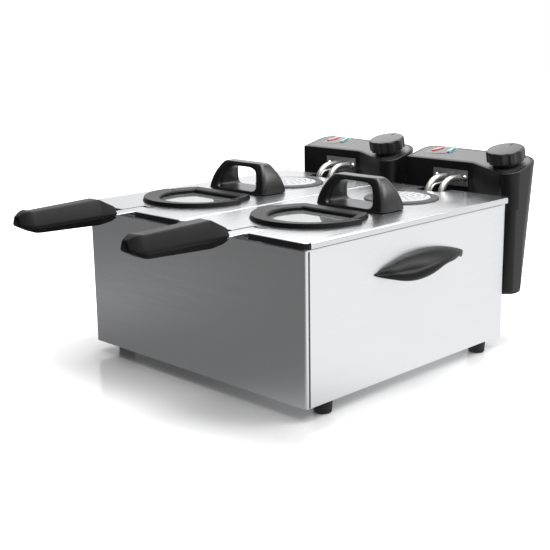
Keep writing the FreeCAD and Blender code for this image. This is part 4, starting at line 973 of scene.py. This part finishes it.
@dataclass
class LidTrim:
    """Dark ribbed rubber strip along each lid's front lip, partly painted shade of the gap there, and a dark
    felt disc close under the slotted cover that paints the shade in its slots.
    """

    rib_pitch: float = 2.4
    rib_depth: float = 0.3
    strip_t: float = 0.6
    strip_in: float = 0.8
    strip_low: float = 0.5
    strip_h: float = 6.0
    corner_r: float = 7.0
    end_in: float = 5.0
    stations: int = 280
    strap_half: float = 13.0
    disc_r: float = 29.2
    # The dark disc lies this close under the cover's top to paint the slots' shade
    disc_below: float = 0.06
    disc_t: float = 0.6
    disc_core: float = 0.2
    disc_points: int = 48
    disc_sharp_deg: float = 30.0
    strip_sharp_deg: float = 60.0

    def seal_and_gap_shade(self, side: str) -> None:
        """Corrugated dark strips on both sides of the strap, of which the outer one runs round the lid's
        corner; they also paint the shade of the gap under the lip.

        At a length s the outside is at c(s) + (R + t + d cos(2 pi s / p)) n(s), where c runs along the front
        and then waits at the corner's centre while n turns from the front to the side.

        Args:
            side: which lid.
        """
        low, high = node_box(f"lid_panel_{side}")
        middle, r = sum(node_box(f"handle_strap_{side}"))[0] / 2, self.corner_r
        foot = high[2] - self.strip_low - self.strip_h
        for name, outward, edge in (("a", -1.0, low[0]), ("b", 1.0, high[0])):
            outer = (outward > 0) == (side == "right")
            start = middle + outward * self.strap_half
            straight = abs(edge - start) - (r if outer else self.end_in)
            length = np.linspace(0.0, straight + (r * np.pi / 2 if outer else 0.0), self.stations)[:, None]
            turn = np.maximum(length - straight, 0.0) / r
            proud = r + self.strip_t + self.rib_depth * np.cos(2 * np.pi * length / self.rib_pitch)
            inside = 0 * proud + r - self.strip_in
            reach = np.concatenate([inside, proud, proud, inside], axis=1)
            x = start + outward * (np.minimum(length, straight) + reach * np.sin(turn))
            y = low[1] + r - reach * np.cos(turn)
            z = foot + self.strip_h * np.array([[0.0, 0.0, 1.0, 1.0]])
            # Dark rubber strip that also stands in for the shade under the lid's front lip
            strip = Piece(f"lip_seal_and_shade_{name}_{side}", BLACK_RUBBER, NODE_BODY[f"lid_panel_{side}"],
                          "black_plastic", self.strip_sharp_deg)
            strip.loft(points_at(x, y, z))

    def slot_shade_disc(self, side: str) -> None:
        """Thin dark disc just below the cover's top, seen only in its slots: painted shade inside the slots.

        Args:
            side: which lid.
        """
        low, high = node_box(f"filter_cover_{side}")
        top = high[2] - self.disc_below
        radius = np.array([self.disc_core, 1.0, 1.0, self.disc_core])[:, None] * self.disc_r
        height = np.array([top, top, top - self.disc_t, top - self.disc_t])[:, None]
        turn, centre = full_turn(self.disc_points)[None, :], (low + high) / 2
        x, y = centre[0] + radius * np.cos(turn), centre[1] + radius * np.sin(turn)
        # Painted shade: dark felt laid just under the cover's top so that the slots read dark
        disc = Piece(f"filter_slot_shade_{side}", FILTER_FELT, NODE_BODY[f"filter_cover_{side}"], "filter_felt",
                     self.disc_sharp_deg)
        disc.loft(points_at(x, y, height))

    def build(self) -> None:
        """Trim both lids."""
        for side in SIDES:
            self.seal_and_gap_shade(side)
            self.slot_shade_disc(side)


@dataclass
class CornerSeam:
    """Dark joint lines where the side sheets meet the folded edges of the front sheet."""

    back: float = 4.9
    width: float = 2.2
    proud: float = 0.12
    low: float = 0.6
    high: float = 3.0

    def build(self) -> None:
        """Lay one thin bar on each side, from the sheet's foot to its top."""
        low, high = node_box("housing_shell")
        for side, wall, out in (("left", low[0], -1.0), ("right", high[0], 1.0)):
            x = wall + out * self.proud * np.array([[-1.0], [1.0]])
            y = low[1] + self.back + self.width / 2 * np.array([-1.0, 1.0, 1.0, -1.0])
            z = np.repeat([low[2] + self.low, high[2] - self.high], 2)
            seam = Piece(f"corner_seam_{side}", SEAM_STEEL, NODE_BODY["housing_shell"], "satin_steel")
            seam.loft(points_at(x, y, z))


@dataclass(frozen=True)
class SoftBox:
    """A square soft light: its place, the point that it faces, its side in metres and its power in watts."""

    name: str
    place: Point
    aim: Point
    size: float
    watts: float

    def build(self) -> None:
        """Add the light to the scene."""
        data = bpy.data.lights.new(self.name, "AREA")
        data.size, data.energy = self.size, self.watts
        obj = add_object(self.name, data)
        obj.location = self.place
        obj.rotation_euler = (Vector(self.aim) - Vector(self.place)).to_track_quat("-Z", "Y").to_euler()


# One at the right rear, a large one overhead, and one behind that grazes the flat tops
SOFT_BOXES = (SoftBox("soft_box_right", (1.1, 1.0, 1.5), (0.0, 0.0, 0.1), 0.9, 16.0),
              SoftBox("soft_box_top", (0.1, 0.2, 1.9), (0.0, 0.0, 0.1), 1.2, 30.0),
              SoftBox("soft_box_rear", (-1.3, 1.5, 1.35), (0.0, 0.2, 0.2), 1.0, 5.0))


@dataclass
class Studio:
    """Pale floor, soft light from the right rear, and the camera at the photograph's place."""

    focal_mm: float = 69.24
    sensor_mm: float = 36.0
    place_mm: Point = (851.5, -844.17, 392.0)
    azimuth_deg: float = 45.23
    elevation_deg: float = 13.74
    roll_deg: float = -0.84
    clip: Pair = (0.01, 100.0)
    sky_toward: Point = (0.35, 0.85, 0.40)
    sky_span: Pair = (-0.45, 0.28)
    sky_levels: Pair = (0.08, 0.94)
    floor_half: float = 6.0
    floor_colour: str = "f0f0f0"
    floor_roughness: float = 0.16
    gloss: float = 0.25
    body_at: Point = (0.0, 0.0395, 0.0)
    body_half: Point = (0.175, 0.1715, 1.0)
    white_span: Pair = (0.04, 0.20)
    mirror_toward: Point = (0.7, 0.7, 0.0)
    mirror_span: Pair = (-0.12, 0.22)
    mirror_levels: Pair = (0.20, 1.1)
    patch_at: Point = (-0.42, -0.30, 0.0)
    patch_r: float = 0.30
    patch: float = 0.17

    def camera(self) -> None:
        """Place the camera by azimuth, elevation and roll."""
        az, el, roll = (math.radians(a) for a in (self.azimuth_deg, self.elevation_deg, self.roll_deg))
        ahead = Vector((-math.sin(az) * math.cos(el), math.cos(az) * math.cos(el), -math.sin(el)))
        right = Vector((math.cos(az), math.sin(az), 0.0))
        up = right.cross(ahead)
        side = right * math.cos(roll) + up * math.sin(roll)
        top = -right * math.sin(roll) + up * math.cos(roll)
        data = bpy.data.cameras.new("camera")
        data.lens, data.sensor_width = self.focal_mm, self.sensor_mm
        data.clip_start, data.clip_end = self.clip
        obj = add_object("camera", data)
        turn = Matrix((side, top, -ahead)).transposed().to_4x4()
        obj.matrix_world = Matrix.Translation(Vector(self.place_mm) * MM) @ turn
        bpy.context.scene.camera = obj

    def world(self) -> None:
        """White where the camera looks; as light, pale behind and at the right and dim at the left front."""
        bpy.context.scene.world = bpy.data.worlds.new("studio")
        tree = empty_tree(bpy.context.scene.world)
        ray = add_node(tree, "TexCoord").outputs["Generated"]
        toward = vector_math(tree, "DOT_PRODUCT", ray, self.sky_toward)
        level = graded(tree, toward, self.sky_span, self.sky_levels)
        path = add_node(tree, "LightPath")
        seen = add_node(tree, "Math", {
            0: path.outputs["Is Camera Ray"], 1: path.outputs["Is Transmission Ray"]}, operation="MAXIMUM")
        strength = add_node(tree, "Mix", {"Factor": seen.outputs[0], "A": level, "B": 1.0},
                            data_type="FLOAT")
        back = add_node(tree, "Background", {"Color": WHITE, "Strength": strength.outputs[0]})
        add_node(tree, "OutputWorld", {"Surface": back.outputs[0]})

    def seen_floor(self, tree: Tree, where: Socket, seen: Socket) -> Socket:
        """Half matt floor that turns to plain white for the camera away from the object.

        Args:
            tree: the floor's node tree.
            where: the place on the floor.
            seen: whether the camera sees it.

        Returns:
            The shader's socket.
        """
        apart = vector_math(tree, "ABSOLUTE", vector_math(tree, "SUBTRACT", where, self.body_at))
        beyond = vector_math(tree, "SUBTRACT", apart, self.body_half)
        far = vector_math(tree, "LENGTH", vector_math(tree, "MAXIMUM", beyond))
        rim = graded(tree, far, self.white_span, (0.0, 1.0))
        glow = add_node(tree, "Math", {0: seen, 1: rim}, operation="MULTIPLY")
        matt = add_node(tree, "BsdfDiffuse", {"Color": linear(self.floor_colour)})
        sheen = add_node(tree, "BsdfGlossy", {"Color": WHITE, "Roughness": self.floor_roughness})
        top = add_node(tree, "MixShader", {0: self.gloss, 1: matt.outputs[0], 2: sheen.outputs[0]})
        light = add_node(tree, "Emission", {"Color": WHITE, "Strength": glow.outputs[0]})
        return add_node(tree, "AddShader", {0: top.outputs[0], 1: light.outputs[0]}).outputs[0]

    def mirrored_floor(self, tree: Tree, where: Socket) -> Socket:
        """Floor as the steel mirrors it: dim at the left front, pale at the right rear, with one pale patch.

        Args:
            tree: the floor's node tree.
            where: the place on the floor.

        Returns:
            The shader's socket.
        """
        along = vector_math(tree, "DOT_PRODUCT", where, self.mirror_toward)
        slope = graded(tree, along, self.mirror_span, self.mirror_levels)
        near = vector_math(tree, "DISTANCE", where, self.patch_at)
        patch = graded(tree, near, (0.0, self.patch_r), (self.patch, 0.0))
        level = add_node(tree, "Math", {0: slope, 1: patch}, operation="ADD")
        card = add_node(tree, "Emission", {"Color": WHITE, "Strength": level.outputs[0]})
        return card.outputs[0]

    def floor(self) -> None:
        """Pale floor: white away from the object, shadowed near it, and shaded where the steel mirrors it."""
        half = self.floor_half
        corners = [(-half, -half, 0), (half, -half, 0), (half, half, 0), (-half, half, 0)]
        mesh = bpy.data.meshes.new("floor")
        mesh.from_pydata(corners, [], [(0, 1, 2, 3)])
        obj = add_object("floor", mesh)
        material = bpy.data.materials.new("pale_floor")
        tree = empty_tree(material)
        where = add_node(tree, "TexCoord").outputs["Object"]
        path = add_node(tree, "LightPath")
        split = add_node(tree, "MixShader", {
            0: path.outputs["Is Glossy Ray"], 1: self.seen_floor(tree, where, path.outputs["Is Camera Ray"]),
            2: self.mirrored_floor(tree, where)})
        add_node(tree, "OutputMaterial", {"Surface": split.outputs[0]})
        mesh.materials.append(material)

    def build(self) -> None:
        """Set the stage."""
        self.camera()
        for box in SOFT_BOXES:
            box.build()
        self.world()
        self.floor()
        bpy.context.scene.view_settings.view_transform = "Standard"


def main() -> None:
    """Dress the solids, add the finer pieces and set the stage."""
    logging.basicConfig(level=logging.INFO)
    dress_solids()
    eased = [EasedSolid(stem, slot, edge) for slot, edges in EASED_EDGES.items()
             for stem, edge in edges.items()]
    for part in [*eased, WireBasket(), BasketGrip(), LidBridge(), ControlPanel(), LidTrim(), CornerSeam()]:
        part.build()
    Studio().build()


if __name__ == "__main__":
    main()
